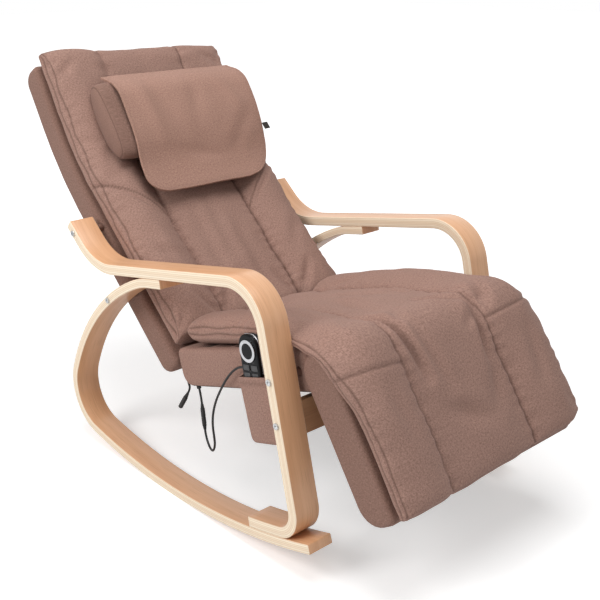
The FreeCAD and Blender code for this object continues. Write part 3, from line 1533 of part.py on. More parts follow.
bore_start = [socket_top[axis] + bore_step * socket_way[axis] for axis in range(3)]
socket_bore = barrel("socket_bore", "power_bore_radius", "power_bore_depth", bore_start, socket_way)
keep("power_socket", cut("power_socket", socket_body, [socket_bore]))

# Checks and export

doc.recompute()
for label, holder in made:
    if "Invalid" in holder.State or "Error" in holder.State:
        raise RuntimeError("failed: " + label)
    if holder.Shape.isNull() or not holder.Shape.isValid():
        raise RuntimeError("bad shape: " + label)
for label, holder in made:
    holder.Shape.exportStep("parts/%s.step" % label)
print("nodes", len(made))
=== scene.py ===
import math
import bmesh
import bpy
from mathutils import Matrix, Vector, noise


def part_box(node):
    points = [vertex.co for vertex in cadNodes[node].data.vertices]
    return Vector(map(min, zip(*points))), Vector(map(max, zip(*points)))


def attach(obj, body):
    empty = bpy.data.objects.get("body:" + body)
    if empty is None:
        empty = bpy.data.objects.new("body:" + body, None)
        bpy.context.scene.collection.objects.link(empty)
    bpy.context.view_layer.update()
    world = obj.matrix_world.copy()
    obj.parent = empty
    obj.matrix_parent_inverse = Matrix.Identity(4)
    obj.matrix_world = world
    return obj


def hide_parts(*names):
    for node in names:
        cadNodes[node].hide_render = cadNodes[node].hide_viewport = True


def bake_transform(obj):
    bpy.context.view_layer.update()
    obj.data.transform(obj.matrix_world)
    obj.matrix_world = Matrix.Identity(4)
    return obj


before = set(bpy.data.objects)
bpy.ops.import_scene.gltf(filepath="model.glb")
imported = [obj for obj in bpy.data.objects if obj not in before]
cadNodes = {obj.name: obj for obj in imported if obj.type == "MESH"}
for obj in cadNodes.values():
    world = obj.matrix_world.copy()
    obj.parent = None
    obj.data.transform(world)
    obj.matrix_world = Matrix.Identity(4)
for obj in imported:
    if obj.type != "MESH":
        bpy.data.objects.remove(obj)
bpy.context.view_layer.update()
scene = bpy.context.scene
bpy.ops.object.select_all(action="DESELECT")
print("frame loaded,", len(cadNodes), "nodes")


# shared node helpers
def setInputs(tree, node, inputs):
    # an input takes a plain value or a link from another node
    for label, value in inputs.items():
        if isinstance(value, (int, float, tuple)):
            node.inputs[label].default_value = value
        else:
            tree.links.new(value, node.inputs[label])


def addNode(tree, kind, inputs, output=0, **settings):
    node = tree.nodes.new("ShaderNode" + kind)
    for label, value in settings.items():
        setattr(node, label, value)
    setInputs(tree, node, inputs)
    return node.outputs if output is None else node.outputs[output]


def addMath(tree, operation, *values):
    return addNode(tree, "Math", dict(enumerate(values)), operation=operation)


def addStretch(tree, vector, scale):
    return addNode(tree, "VectorMath", {0: vector, 1: scale}, operation="MULTIPLY")


def addNoise(tree, vector, scale, detail=2.0, roughness=0.5):
    inputs = {"Vector": vector, "Scale": scale, "Detail": detail, "Roughness": roughness}
    return addNode(tree, "TexNoise", inputs, "Fac")


def addRange(tree, value, fromMin, fromMax, toMin, toMax):
    inputs = {"Value": value, "From Min": fromMin, "From Max": fromMax, "To Min": toMin, "To Max": toMax}
    return addNode(tree, "MapRange", inputs, "Result")


def addMix(tree, share, first, second):
    return addNode(tree, "Mix", {0: share, 6: first, 7: second}, 2, data_type="RGBA")


def newGroup(name, **inputs):
    # a shared effect: colours have four values, vectors three
    tree = bpy.data.node_groups.new(name, "ShaderNodeTree")
    tree.interface.new_socket(name="Coord", in_out="INPUT", socket_type="NodeSocketVector")
    for label, value in inputs.items():
        kind = {3: "Vector", 4: "Color"}[len(value)] if isinstance(value, tuple) else "Float"
        socket = tree.interface.new_socket(name=label, in_out="INPUT", socket_type="NodeSocket" + kind)
        socket.default_value = value
    for label, kind in (("Color", "Color"), ("Roughness", "Float"), ("Height", "Float")):
        tree.interface.new_socket(name=label, in_out="OUTPUT", socket_type="NodeSocket" + kind)
    return tree, tree.nodes.new("NodeGroupInput").outputs


def closeGroup(tree, **outputs):
    setInputs(tree, tree.nodes.new("NodeGroupOutput"), outputs)


# camera at the photograph's angle
cameraSettings = {
    "place": (-1.3506, -1.5584, 1.1289),
    "azimuth": -42.4,
    "elevation": 20.2,
    "lens": 57.43,
}
turn = math.radians(cameraSettings["azimuth"])
tilt = math.radians(cameraSettings["elevation"])
bpy.ops.object.camera_add(location=cameraSettings["place"], rotation=(math.pi / 2 - tilt, 0, turn))
camera = bpy.context.object
camera.data.lens = cameraSettings["lens"]
camera.data.sensor_width = 36
camera.data.dof.use_dof = False
scene.camera = camera
scene.view_settings.view_transform = "Standard"

# floor, white surroundings and soft lamps
stageSettings = {
    "floorSize": 30.0,
    "floorColour": (0.90, 0.90, 0.90, 1),
    "floorFade": (0.9, 2.6),  # the floor's own light changes between these distances
    "floorLift": (0.36, 0.80),  # near the chair, far from it
    "worldStrength": 0.38,
    "lamps": [  # name, place, aimed at, size, watts
        ("leftLamp", (-2.6, 0.4, 2.3), (0, 0, 0.45), 1.8, 56),
        ("topLamp", (-0.1, -0.5, 3.2), (0, 0, 0.4), 2.2, 50),
        ("frontLamp", (-0.8, -3.2, 1.9), (0, 0, 0.4), 2.2, 3),
    ],
}
white = (1, 1, 1, 1)
bpy.ops.mesh.primitive_plane_add(size=stageSettings["floorSize"], location=(0, 0, 0))
floor = bpy.context.object
floor.name = "floor"
floorMaterial = bpy.data.materials.new("paleFloor")
floorMaterial.use_nodes = True
tree = floorMaterial.node_tree
away = addNode(tree, "VectorMath", {0: addNode(tree, "TexCoord", {}, "Object")}, "Value", operation="LENGTH")
glow = addRange(tree, away, *stageSettings["floorFade"], *stageSettings["floorLift"])
glow = addMath(tree, "MULTIPLY", addNode(tree, "LightPath", {}, "Is Camera Ray"), glow)
setInputs(tree, tree.nodes["Principled BSDF"], {
    "Base Color": stageSettings["floorColour"], "Roughness": 0.9, "Specular IOR Level": 0.1,
    "Emission Color": white, "Emission Strength": glow})
floor.data.materials.append(floorMaterial)

world = bpy.data.worlds.new("whiteRoom")
scene.world = world
world.use_nodes = True
tree = world.node_tree
ray = addNode(tree, "LightPath", {}, None)
direct = addMath(tree, "MAXIMUM", ray["Is Camera Ray"], ray["Is Glossy Ray"])
strength = addRange(tree, direct, 0.0, 1.0, stageSettings["worldStrength"], 1.0)
setInputs(tree, tree.nodes["Background"], {"Color": white, "Strength": strength})


for name, place, aim, size, watts in stageSettings["lamps"]:
    bpy.ops.object.light_add(type="AREA", location=place)
    lamp = bpy.context.object
    lamp.name = name
    lamp.data.energy = watts
    lamp.data.shape = "DISK"
    lamp.data.size = size
    lamp.rotation_euler = (Vector(aim) - Vector(place)).to_track_quat("-Z", "Y").to_euler()
print("stage and camera ready")

# cloth: fine slubby yarns both ways, soft tone drift, speckled melange, plain weave bump
clothGroup, given = newGroup("slubWeave", Dark=(0.2, 0.12, 0.1, 1), Light=(0.4, 0.26, 0.2, 1), Drift=0.10)
tree = clothGroup
coord = given["Coord"]
warp = addNoise(tree, addStretch(tree, coord, (560, 190, 420)), 1.0, 3.0, 0.7)
weft = addNoise(tree, addStretch(tree, coord, (190, 560, 420)), 1.0, 3.0, 0.7)
yarn = addRange(tree, addMath(tree, "MULTIPLY", addMath(tree, "ADD", warp, weft), 0.5), 0.30, 0.70, 0.0, 1.0)
drift = addMath(tree, "MULTIPLY_ADD", addNoise(tree, coord, 11.0, 3.0), given["Drift"], -0.05)
melange = addMath(tree, "MULTIPLY_ADD", addNoise(tree, coord, 250.0, 2.0, 0.6), 0.75, -0.375)
slub = addMath(tree, "ADD", addMath(tree, "ADD", yarn, drift), melange)
thread = addNode(tree, "SeparateXYZ", {0: addStretch(tree, coord, (3900, 3900, 3900))}, None)
over = addMath(tree, "MULTIPLY", addMath(tree, "SINE", thread[0]), addMath(tree, "SINE", thread[1]))
closeGroup(tree, Color=addMix(tree, slub, given["Dark"], given["Light"]),
           Roughness=addRange(tree, yarn, 0, 1, 0.95, 0.78),
           Height=addMath(tree, "ADD", addMath(tree, "MULTIPLY", over, 0.35), yarn))

# wood: long grain streaks, soft figure and short pores, u along the strip
grainGroup, given = newGroup("longGrain", Pale=(0.7, 0.5, 0.3, 1), Honey=(0.5, 0.3, 0.15, 1),
                             Pore=(0.25, 0.13, 0.06, 1))
tree = grainGroup
coord = given["Coord"]
streak = addNoise(tree, addStretch(tree, coord, (2.4, 70, 70)), 1.0, 4.0, 0.6)
figure = addNoise(tree, addStretch(tree, coord, (3.0, 16, 16)), 1.0, 2.0)
fine = addNoise(tree, addStretch(tree, coord, (14, 900, 900)), 1.0, 1.0)
pores = addRange(tree, fine, 0.60, 0.72, 0.0, 0.55)
tone = addMath(tree, "ADD", addMath(tree, "MULTIPLY", streak, 0.7), addMath(tree, "MULTIPLY", figure, 0.45))
veneer = addMix(tree, addRange(tree, tone, 0.36, 0.80, 0.0, 1.0), given["Pale"], given["Honey"])
closeGroup(tree, Color=addMix(tree, pores, veneer, given["Pore"]),
           Roughness=addRange(tree, streak, 0.3, 0.7, 0.30, 0.42),
           Height=addMath(tree, "SUBTRACT", streak, pores))

# cut edge of the bent strips: stacked veneers with thin dark glue lines, v through the stack
plyGroup, given = newGroup("veneerStack", Pale=(0.86, 0.72, 0.54, 1), Tan=(0.72, 0.55, 0.36, 1),
                           Glue=(0.45, 0.28, 0.15, 1), Veneer=0.0029)
tree = plyGroup
coord = given["Coord"]
through = addNode(tree, "SeparateXYZ", {0: coord}, None)[1]
waver = addMath(tree, "MULTIPLY_ADD", addNoise(tree, coord, 9.0, 2.0), 0.0012, through)
layer = addMath(tree, "DIVIDE", waver, given["Veneer"])
fromMiddle = addMath(tree, "ABSOLUTE", addMath(tree, "SUBTRACT", addMath(tree, "FRACT", layer), 0.5))
glueLine = addRange(tree, fromMiddle, 0.36, 0.48, 0.0, 0.75)
number = addMath(tree, "FLOOR", layer)
layerTone = addNode(tree, "TexWhiteNoise", {"W": number}, "Value", noise_dimensions="1D")
fibre = addNoise(tree, addStretch(tree, coord, (5, 420, 420)), 1.0, 2.0)
tone = addMath(tree, "MULTIPLY_ADD", layerTone, 0.7, addMath(tree, "MULTIPLY", fibre, 0.3))
stack = addMix(tree, tone, given["Pale"], given["Tan"])
closeGroup(tree, Color=addMix(tree, glueLine, stack, given["Glue"]),
           Roughness=addRange(tree, fibre, 0.3, 0.7, 0.42, 0.58),
           Height=addMath(tree, "SUBTRACT", fibre, glueLine))

# hard finishes: fine moulding texture, rub marks and dust that vary the gloss
marksGroup, given = newGroup("rubMarks", Base=(0.1, 0.1, 0.1, 1), Worn=(0.2, 0.2, 0.2, 1), Smooth=0.25,
                             Dull=0.45, Stretch=(1, 1, 1))
tree = marksGroup
pulled = addStretch(tree, given["Coord"], given["Stretch"])
rubbed = addNoise(tree, pulled, 60.0, 4.0, 0.65)
share = addRange(tree, rubbed, 0.45, 0.75, 0.0, 1.0)
closeGroup(tree, Color=addMix(tree, share, given["Base"], given["Worn"]),
           Roughness=addRange(tree, rubbed, 0.35, 0.75, given["Smooth"], given["Dull"]),
           Height=addMath(tree, "MULTIPLY_ADD", rubbed, 0.5, addNoise(tree, pulled, 900.0, 2.0)))
finishes = {}


def makeMaterial(name, group, useUv, bump, fixed, paintedShadeColour=None, **values):
    material = bpy.data.materials.new(name)
    material.use_nodes = True
    tree = material.node_tree
    effect = tree.nodes.new("ShaderNodeGroup")
    effect.node_tree = group
    place = addNode(tree, "TexCoord", {}, "UV" if useUv else "Object")
    setInputs(tree, effect, {"Coord": place, **values})
    surface = effect.outputs["Color"]
    if paintedShadeColour:  # painted shade at seams, creases and hems, by the piece's own seam attribute
        sewn = addNode(tree, "Attribute", {}, "Fac", attribute_name="seam")
        surface = addMix(tree, sewn, surface, paintedShadeColour)
    relief = {"Strength": bump[0], "Distance": bump[1], "Height": effect.outputs["Height"]}
    setInputs(tree, tree.nodes["Principled BSDF"], {
        "Base Color": surface, "Roughness": effect.outputs["Roughness"],
        "Normal": addNode(tree, "Bump", relief, "Normal"), **fixed})
    finishes[name] = material


clothFinish = {"Sheen Weight": 0.05, "Sheen Roughness": 0.5, "Specular IOR Level": 0.25}
# colour of the painted shade in seam grooves, deep creases and along hems
paintedSeamShade = (0.075, 0.036, 0.026, 1)
for name, dark, light, drift in (
        ("padCloth", (0.178, 0.096, 0.074), (0.420, 0.257, 0.206), 0.14),
        # the flap cloth is a lighter copy of the pad cloth: painted light
        ("litFlapCloth", (0.212, 0.112, 0.083), (0.490, 0.292, 0.226), 0.14),
        # the shell cloth is a darker copy of the pad cloth: painted shade
        ("shadedCloth", (0.140, 0.074, 0.055), (0.315, 0.186, 0.146), 0.12)):
    makeMaterial(name, clothGroup, True, (0.35, 0.0006), clothFinish, paintedSeamShade,
                 Dark=(*dark, 1), Light=(*light, 1), Drift=drift)
for name, dark, light, bump, fixed in (
        ("underCloth", (0.012, 0.012, 0.013), (0.035, 0.034, 0.035), (0.3, 0.0004),
         {"Specular IOR Level": 0.2}),
        ("strapCloth", (0.05, 0.045, 0.04), (0.14, 0.12, 0.10), (0.5, 0.0006),
         {"Specular IOR Level": 0.2}),
        ("tabCloth", (0.012, 0.010, 0.009), (0.045, 0.038, 0.034), (0.30, 0.0003),
         {"Sheen Weight": 0.05, "Specular IOR Level": 0.25})):
    makeMaterial(name, clothGroup, False, bump, fixed, Dark=(*dark, 1), Light=(*light, 1), Drift=0.10)
for name, useUv, pale, honey, pore, bump, fixed in (
        ("stripVeneer", True, (0.76, 0.440, 0.250), (0.63, 0.325, 0.165), (0.42, 0.200, 0.095),
         (0.06, 0.0004), {"Coat Weight": 0.25, "Coat Roughness": 0.22}),
        ("railWood", False, (0.66, 0.46, 0.27), (0.50, 0.31, 0.16), (0.30, 0.17, 0.08), (0.15, 0.0006),
         {"Specular IOR Level": 0.3}),
        ("shadedWood", False, (0.50, 0.27, 0.145), (0.39, 0.195, 0.098), (0.24, 0.11, 0.052), (0.06, 0.0002),
         {"Coat Weight": 0.15, "Coat Roughness": 0.30})):
    makeMaterial(name, grainGroup, useUv, bump, fixed, Pale=(*pale, 1), Honey=(*honey, 1), Pore=(*pore, 1))
makeMaterial("stripEdge", plyGroup, True, (0.08, 0.0004), {"Coat Weight": 0.2, "Coat Roughness": 0.3},
             Pale=(0.90, 0.78, 0.61, 1), Tan=(0.80, 0.63, 0.45, 1), Glue=(0.55, 0.37, 0.22, 1), Veneer=0.0038)
for name, base, worn, smooth, dull, bump, fixed in (
        ("zincSteel", (0.56, 0.57, 0.58), (0.70, 0.70, 0.70), 0.22, 0.42, (0.05, 0.0002), {"Metallic": 1.0}),
        ("brightRing", (0.60, 0.60, 0.62), (0.48, 0.48, 0.50), 0.10, 0.24, (0.02, 0.0001), {"Metallic": 1.0}),
        ("castAlloy", (0.42, 0.42, 0.43), (0.55, 0.55, 0.55), 0.38, 0.58, (0.12, 0.0003), {"Metallic": 1.0}),
        ("brass", (0.62, 0.43, 0.18), (0.74, 0.56, 0.28), 0.22, 0.42, (0.05, 0.0002), {"Metallic": 1.0}),
        ("motorPaint", (0.055, 0.058, 0.062), (0.16, 0.16, 0.165), 0.35, 0.55, (0.08, 0.0003),
         {"Coat Weight": 0.15}),
        ("darkPlastic", (0.016, 0.016, 0.017), (0.034, 0.034, 0.036), 0.38, 0.56, (0.12, 0.0002),
         {"Specular IOR Level": 0.45}),
        ("glossBlack", (0.004, 0.004, 0.005), (0.008, 0.008, 0.009), 0.10, 0.24, (0.015, 0.0001),
         {"Specular IOR Level": 0.14}),
        ("spacerPlastic", (0.150, 0.078, 0.058), (0.190, 0.105, 0.080), 0.42, 0.60, (0.02, 0.0001),
         {"Specular IOR Level": 0.3}),
        ("keyPlastic", (0.030, 0.030, 0.032), (0.055, 0.055, 0.057), 0.30, 0.44, (0.06, 0.0001),
         {"Specular IOR Level": 0.5}),
        ("gearPlastic", (0.72, 0.70, 0.64), (0.62, 0.60, 0.54), 0.38, 0.52, (0.06, 0.0002),
         {"Specular IOR Level": 0.45}),
        ("cordRubber", (0.014, 0.014, 0.015), (0.030, 0.030, 0.031), 0.40, 0.58, (0.08, 0.0002),
         {"Specular IOR Level": 0.4}),
        ("headRubber", (0.032, 0.032, 0.034), (0.06, 0.06, 0.062), 0.48, 0.66, (0.12, 0.0003),
         {"Specular IOR Level": 0.35})):
    along = (1, 4, 4) if name == "zincSteel" else (1, 1, 1)  # steel is rubbed lengthwise
    makeMaterial(name, marksGroup, False, bump, fixed, Base=(*base, 1), Worn=(*worn, 1), Smooth=smooth,
                 Dull=dull, Stretch=along)
print("materials ready")


# modelling helpers
touching = 0.0002  # closer than this is the same place


def freshStart():
    if bpy.context.mode != "OBJECT":
        bpy.ops.object.mode_set(mode="OBJECT")
    bpy.ops.object.select_all(action="DESELECT")


def makeActive(obj):
    freshStart()
    obj.select_set(True)
    bpy.context.view_layer.objects.active = obj


def startEdit(obj):
    makeActive(obj)
    bpy.ops.object.mode_set(mode="EDIT")
    bpy.ops.mesh.select_all(action="SELECT")


def selectWhere(obj, kind, test):
    # in edit mode, picks the edges or faces that pass the test
    bpy.ops.mesh.select_mode(type=kind)
    bpy.ops.mesh.select_all(action="DESELECT")
    editMesh = bmesh.from_edit_mesh(obj.data)
    for part in editMesh.edges if kind == "EDGE" else editMesh.faces:
        part.select_set(test(part))
    bmesh.update_edit_mesh(obj.data)


def bisectAll(place, way):
    bpy.ops.mesh.select_all(action="SELECT")
    bpy.ops.mesh.bisect(plane_co=place, plane_no=way)


def namedPiece(name):
    obj = bpy.context.object
    obj.name = name
    return obj


def newBlock(name, low, high):
    # a box between two corners, left in edit mode
    freshStart()
    bpy.ops.mesh.primitive_cube_add(size=1)
    obj = namedPiece(name)
    startEdit(obj)
    bpy.ops.mesh.select_mode(type="EDGE")
    bpy.ops.transform.resize(value=[b - a for a, b in zip(low, high)])
    bpy.ops.transform.translate(value=[0.5 * (a + b) for a, b in zip(low, high)])
    return obj


def applyModifiers(obj):
    makeActive(obj)
    for modifier in list(obj.modifiers):
        bpy.ops.object.modifier_apply(modifier=modifier.name)


def addBevel(obj, width, segments, angle=40):
    freshStart()
    modifier = obj.modifiers.new("softEdges", "BEVEL")
    modifier.width = width
    modifier.segments = segments
    modifier.limit_method = "ANGLE"
    modifier.angle_limit = math.radians(angle)
    modifier.harden_normals = False
    applyModifiers(obj)


def addWall(obj, thickness, offset, even=False):
    wall = obj.modifiers.new("lining", "SOLIDIFY")
    wall.thickness = thickness
    wall.offset = offset
    wall.use_even_offset = even
    applyModifiers(obj)


def addSubdivision(obj, levels):
    modifier = obj.modifiers.new("smoothing", "SUBSURF")
    modifier.levels = levels
    modifier.render_levels = levels
    modifier.uv_smooth = "NONE"
    applyModifiers(obj)


def smoothByAngle(obj, angle):
    makeActive(obj)
    bpy.ops.object.shade_smooth_by_angle(angle=math.radians(angle))


def smoothAll(obj):
    makeActive(obj)
    bpy.ops.object.shade_smooth()


def mapFaces(mesh, name, placeOf):
    # the piece's own map is its only one
    while mesh.uv_layers:
        mesh.uv_layers.remove(mesh.uv_layers[0])
    layer = mesh.uv_layers.new(name=name)
    for face in mesh.polygons:
        for loop in face.loop_indices:
            layer.data[loop].uv = placeOf(face, mesh.loops[loop].vertex_index)


# a per-point attribute for the painted shade at seams, creases and hems
def newPaintedShade(mesh):
    return mesh.attributes.new(name="seam", type="FLOAT", domain="POINT").data


def closeAndTurnOut(obj):
    startEdit(obj)
    bpy.ops.mesh.remove_doubles(threshold=0.00001)
    bpy.ops.mesh.fill_holes(sides=0)
    bpy.ops.mesh.select_all(action="SELECT")
    bpy.ops.mesh.normals_make_consistent(inside=False)
    bpy.ops.object.mode_set(mode="OBJECT")


def dress(obj, *names):
    obj.data.materials.clear()
    for name in names:
        obj.data.materials.append(finishes[name])


def handOver(obj, slot, body, *nodes):
    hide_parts(*nodes)
    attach(obj, body)


# a side-plane path: start point (y, z), slope in degrees, then (length, radius) pieces, radius 0 is straight
def walkPath(path, run):
    y, z = path["start"]
    slope = math.radians(path["slope"])
    last = len(path["pieces"]) - 1
    for index, (length, radius) in enumerate(path["pieces"]):
        step = run if index == last or run < length else length
        if radius:
            bent = step / radius
            y += radius * (math.sin(slope + bent) - math.sin(slope))
            z += radius * (math.cos(slope) - math.cos(slope + bent))
            slope += bent
        else:
            y += step * math.cos(slope)
            z += step * math.sin(slope)
        run -= step
        if run <= 0:
            break
    return y, z, slope


def pathPoint(path, x, run, lift):
    y, z, slope = walkPath(path, run)
    return Vector((x, y - lift * math.sin(slope), z + lift * math.cos(slope)))


def sidePoint(origin, slope, run, lift):
    angle = math.radians(slope)
    return (origin[0] + run * math.cos(angle) - lift * math.sin(angle),
            origin[1] + run * math.sin(angle) + lift * math.cos(angle))


chairPlan = {
    "knee": (-0.426, 0.410),
    "seatSlope": -17.4,
    "legSlope": 56.0,
    "backFoot": (0.09097, 0.22202),
    "backSlope": 43.1,
    "mouth": (-0.213, 0.339),
    "handsetCentre": (-0.242, 0.402),
    "handsetSlope": -12.0,
}
backPath = {"start": chairPlan["backFoot"], "slope": chairPlan["backSlope"],
            "pieces": [(0.4427, 0), (0.2560, 0.900), (0.1281, 0)]}
backLength = sum(length for length, radius in backPath["pieces"])


# cords: the route's own points are the control points of one smooth spline
cordSettings = {
    "diameter": 0.005,
    "handsetLead": [(-0.2360, -0.0118, 0.2268), (-0.2360, -0.0172, 0.2096), (-0.2360, -0.0196, 0.1917)],
    "handsetCord": [
        (-0.2360, -0.0274, 0.1323), (-0.2360, -0.0296, 0.1159), (-0.2430, -0.0520, 0.0990),
        (-0.2520, -0.0760, 0.1030), (-0.2590, -0.0930, 0.1270), (-0.2640, -0.0980, 0.1510),
        (-0.2660, -0.0960, 0.1780), (-0.2660, -0.0980, 0.2060), (-0.2660, -0.1090, 0.2400),
        (-0.2660, -0.1290, 0.2760), (-0.2660, -0.1500, 0.3080), (-0.2650, -0.1700, 0.3310),
        (-0.2630, -0.1900, 0.3460), (-0.2600, -0.2122, 0.3482), (-0.2600, -0.2274, 0.3330),
        (-0.2600, -0.2374, 0.3047), (-0.2600, -0.2460, 0.2739), (-0.2600, -0.2536, 0.2511),
        (-0.2600, -0.2594, 0.2309), (-0.2640, -0.2713, 0.2231), (-0.2700, -0.2840, 0.2261),
        (-0.2750, -0.2910, 0.2386), (-0.2750, -0.2873, 0.2562)],
    "powerLead": [
        (-0.2150, 0.0350, 0.2425), (-0.2150, 0.0550, 0.2362), (-0.2150, 0.0600, 0.2120),
        (-0.2116, 0.0551, 0.1961), (-0.2150, 0.0620, 0.1820)],
}


def makeCord(name, points):
    freshStart()
    curve = bpy.data.curves.new(name, "CURVE")
    curve.dimensions = "3D"
    spline = curve.splines.new("NURBS")
    spline.points.add(len(points) - 1)
    for place, knot in zip(points, spline.points):
        knot.co = (*place, 1)
    spline.order_u = 3
    spline.use_endpoint_u = True
    spline.resolution_u = 8
    obj = bpy.data.objects.new(name, curve)
    scene.collection.objects.link(obj)
    bare = bpy.data.meshes.new_from_object(obj)
    route = [vertex.co.copy() for vertex in bare.vertices]
    bpy.data.meshes.remove(bare)
    curve.bevel_depth = cordSettings["diameter"] / 2
    curve.bevel_resolution = 4
    curve.use_fill_caps = True
    curve.materials.append(finishes["cordRubber"])
    return obj, route


# turned pieces: a disc is extruded along its axis and resized at each step of its outline
def turnedPiece(name, start, way, outline, sides=28):
    freshStart()
    bpy.ops.mesh.primitive_circle_add(vertices=sides, radius=outline[0][1], fill_type="NGON")
    obj = namedPiece(name)
    startEdit(obj)
    for (before, oldRadius), (after, newRadius) in zip(outline, outline[1:]):
        bpy.ops.mesh.extrude_region_move(TRANSFORM_OT_translate={"value": (0, 0, after - before)})
        ratio = newRadius / oldRadius
        bpy.ops.transform.resize(value=(ratio, ratio, 1), center_override=(0, 0, after))
    closeAndTurnOut(obj)
    obj.rotation_euler = Vector(way).to_track_quat("Z", "Y").to_euler()
    obj.location = start
    makeActive(obj)
    bpy.ops.object.transform_apply(location=True, rotation=True, scale=True)
    smoothByAngle(obj, 35)
    return obj


connectorSettings = {
    "radius": 0.0050,
    "length": 0.030,
    "neck": 0.0031,
    "ribDepth": 0.0007,
    "socketStart": (-0.2360, -0.0196, 0.1917),
    "plugStart": (-0.2360, -0.0235, 0.1620),
    "way": (0, -0.13053, -0.99144),
    "powerStart": (-0.2150, 0.0620, 0.1820),
    "powerWay": (-0.21, 0.43, -0.88),
    "powerLength": 0.044,
    "powerRadius": 0.0055,
    "powerBore": [(0.0440, 0.0029), (0.0435, 0.00275), (0.0340, 0.00275)],
}


def ribbedOutline(length, radius):
    # a tapered strain relief with ribs, then a smooth grip
    neck = connectorSettings["neck"]
    ribDepth = connectorSettings["ribDepth"]
    steps = [(0.0, neck), (0.0035, neck + 0.0003)]
    for rib in range(4):
        at = 0.0045 + rib * 0.0022
        wide = neck + 0.0006 + rib * 0.0004
        narrow = wide - ribDepth
        steps += [(at, wide), (at + 0.0010, wide), (at + 0.0011, narrow), (at + 0.0018, narrow)]
    return steps + [(0.0145, radius), (length - 0.0012, radius), (length, radius - 0.0009)]


gripLength = connectorSettings["length"]
gripOutline = ribbedOutline(gripLength, connectorSettings["radius"])
plugOutline = [(gripLength - at, size) for at, size in reversed(gripOutline)]
powerOutline = ribbedOutline(connectorSettings["powerLength"], connectorSettings["powerRadius"])
powerOutline += connectorSettings["powerBore"]
way = connectorSettings["way"]
connectorSocket = turnedPiece("connectorSocket", connectorSettings["socketStart"], way, gripOutline)
connectorPlug = turnedPiece("connectorPlug", connectorSettings["plugStart"], way, plugOutline)
powerSocket = turnedPiece("powerSocket", connectorSettings["powerStart"], connectorSettings["powerWay"],
                          powerOutline)
for piece, node in ((connectorSocket, "connector_socket"), (connectorPlug, "connector_plug"),
                    (powerSocket, "power_socket")):
    dress(piece, "darkPlastic")
    handOver(piece, "dark_plastic", "chair", node)

handsetLead, leadRoute = makeCord("handsetLead", cordSettings["handsetLead"])
handsetCord, cordRoute = makeCord("handsetCord", cordSettings["handsetCord"])
powerLead, powerRoute = makeCord("powerLead", cordSettings["powerLead"])
makeActive(handsetCord)
bpy.ops.object.convert(target="MESH")
handsetCord = bpy.context.object
smoothAll(handsetCord)
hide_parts("handset_lead")
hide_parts("handset_cord")
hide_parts("power_lead")
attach(handsetLead, "chair")
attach(powerLead, "chair")
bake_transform(handsetCord)


# bent side strips
stripSettings = {
    "middleX": 0.295,
    "width": 0.060,
    "armThickness": 0.023,
    "rockerThickness": 0.020,
    "edgeRound": 0.0022,
    "runnerRadius": 1.520,
    "rearCorner": (0.24497, 0.47105),
    "armSlope": 10.76,
    "armEndRise": 40.6,
    "armEndLength": 0.121,
    "armRearRadius": 0.140,
    "armFrontReach": 0.318,
    "legLean": 13.5,
    "frontRadius": 0.100,
    "footRadius": 0.060,
    "footEndReach": 0.285,
    "toeReach": 0.462,
    "toeBevel": 0.009,
    "rearReach": 0.388,
    "tailRadius": 0.108,
    "riseHeading": 66.5,
    "riseRadius": 0.566,
    "lapRadius": 0.220,
    "lapStraight": 0.050,
}


def towards(angle):
    return Vector((math.cos(math.radians(angle)), math.sin(math.radians(angle))))


def meetCircle(start, way, centre, radius):
    away = start - centre
    along = away.dot(way)
    return start + way * (math.sqrt(along * along - away.length_squared + radius * radius) - along)


def headingOf(vector):
    return math.degrees(math.atan2(vector.y, vector.x))


def armPath():
    s = stripSettings
    half = s["armThickness"] / 2
    forward = 180 - s["armSlope"]
    down = 270 - s["legLean"]
    rearTurn = s["armEndRise"] + s["armSlope"]
    rearRun = s["armRearRadius"] * math.tan(math.radians(rearTurn / 2))
    frontTurn = down - forward
    frontRun = s["frontRadius"] * math.tan(math.radians(frontTurn / 2))
    rearCorner = Vector(s["rearCorner"])
    armSpan = (rearCorner.x + s["armFrontReach"]) / math.cos(math.radians(s["armSlope"]))
    frontCorner = rearCorner + towards(forward) * armSpan
    runnerCentre = Vector((0, s["runnerRadius"]))
    topRadius = s["runnerRadius"] - s["rockerThickness"]
    legFront = towards(down - 90)
    footCentre = meetCircle(frontCorner - legFront * s["footRadius"], towards(down), runnerCentre,
                            topRadius - s["footRadius"])
    footStart = (footCentre + legFront * s["footRadius"] - frontCorner).dot(towards(down))
    footHeading = headingOf(footCentre - runnerCentre) + 90
    footEndHeading = -math.degrees(math.asin(s["footEndReach"] / topRadius))
    start = rearCorner + towards(s["armEndRise"]) * s["armEndLength"] - towards(s["armEndRise"] + 90) * half
    footTurn = (footHeading - down) % 360
    runnerTurn = footEndHeading - (footHeading % 360 - 360 if footHeading % 360 > 180 else footHeading)
    return {"start": tuple(start), "slope": 180 + s["armEndRise"], "pieces": [
        (s["armEndLength"] - rearRun, 0),
        ((s["armRearRadius"] + half) * math.radians(rearTurn), -(s["armRearRadius"] + half)),
        (armSpan - rearRun - frontRun, 0),
        ((s["frontRadius"] - half) * math.radians(frontTurn), s["frontRadius"] - half),
        (footStart - frontRun, 0),
        ((s["footRadius"] - half) * math.radians(footTurn), s["footRadius"] - half),
        ((topRadius - half) * math.radians(runnerTurn), topRadius - half),
    ]}


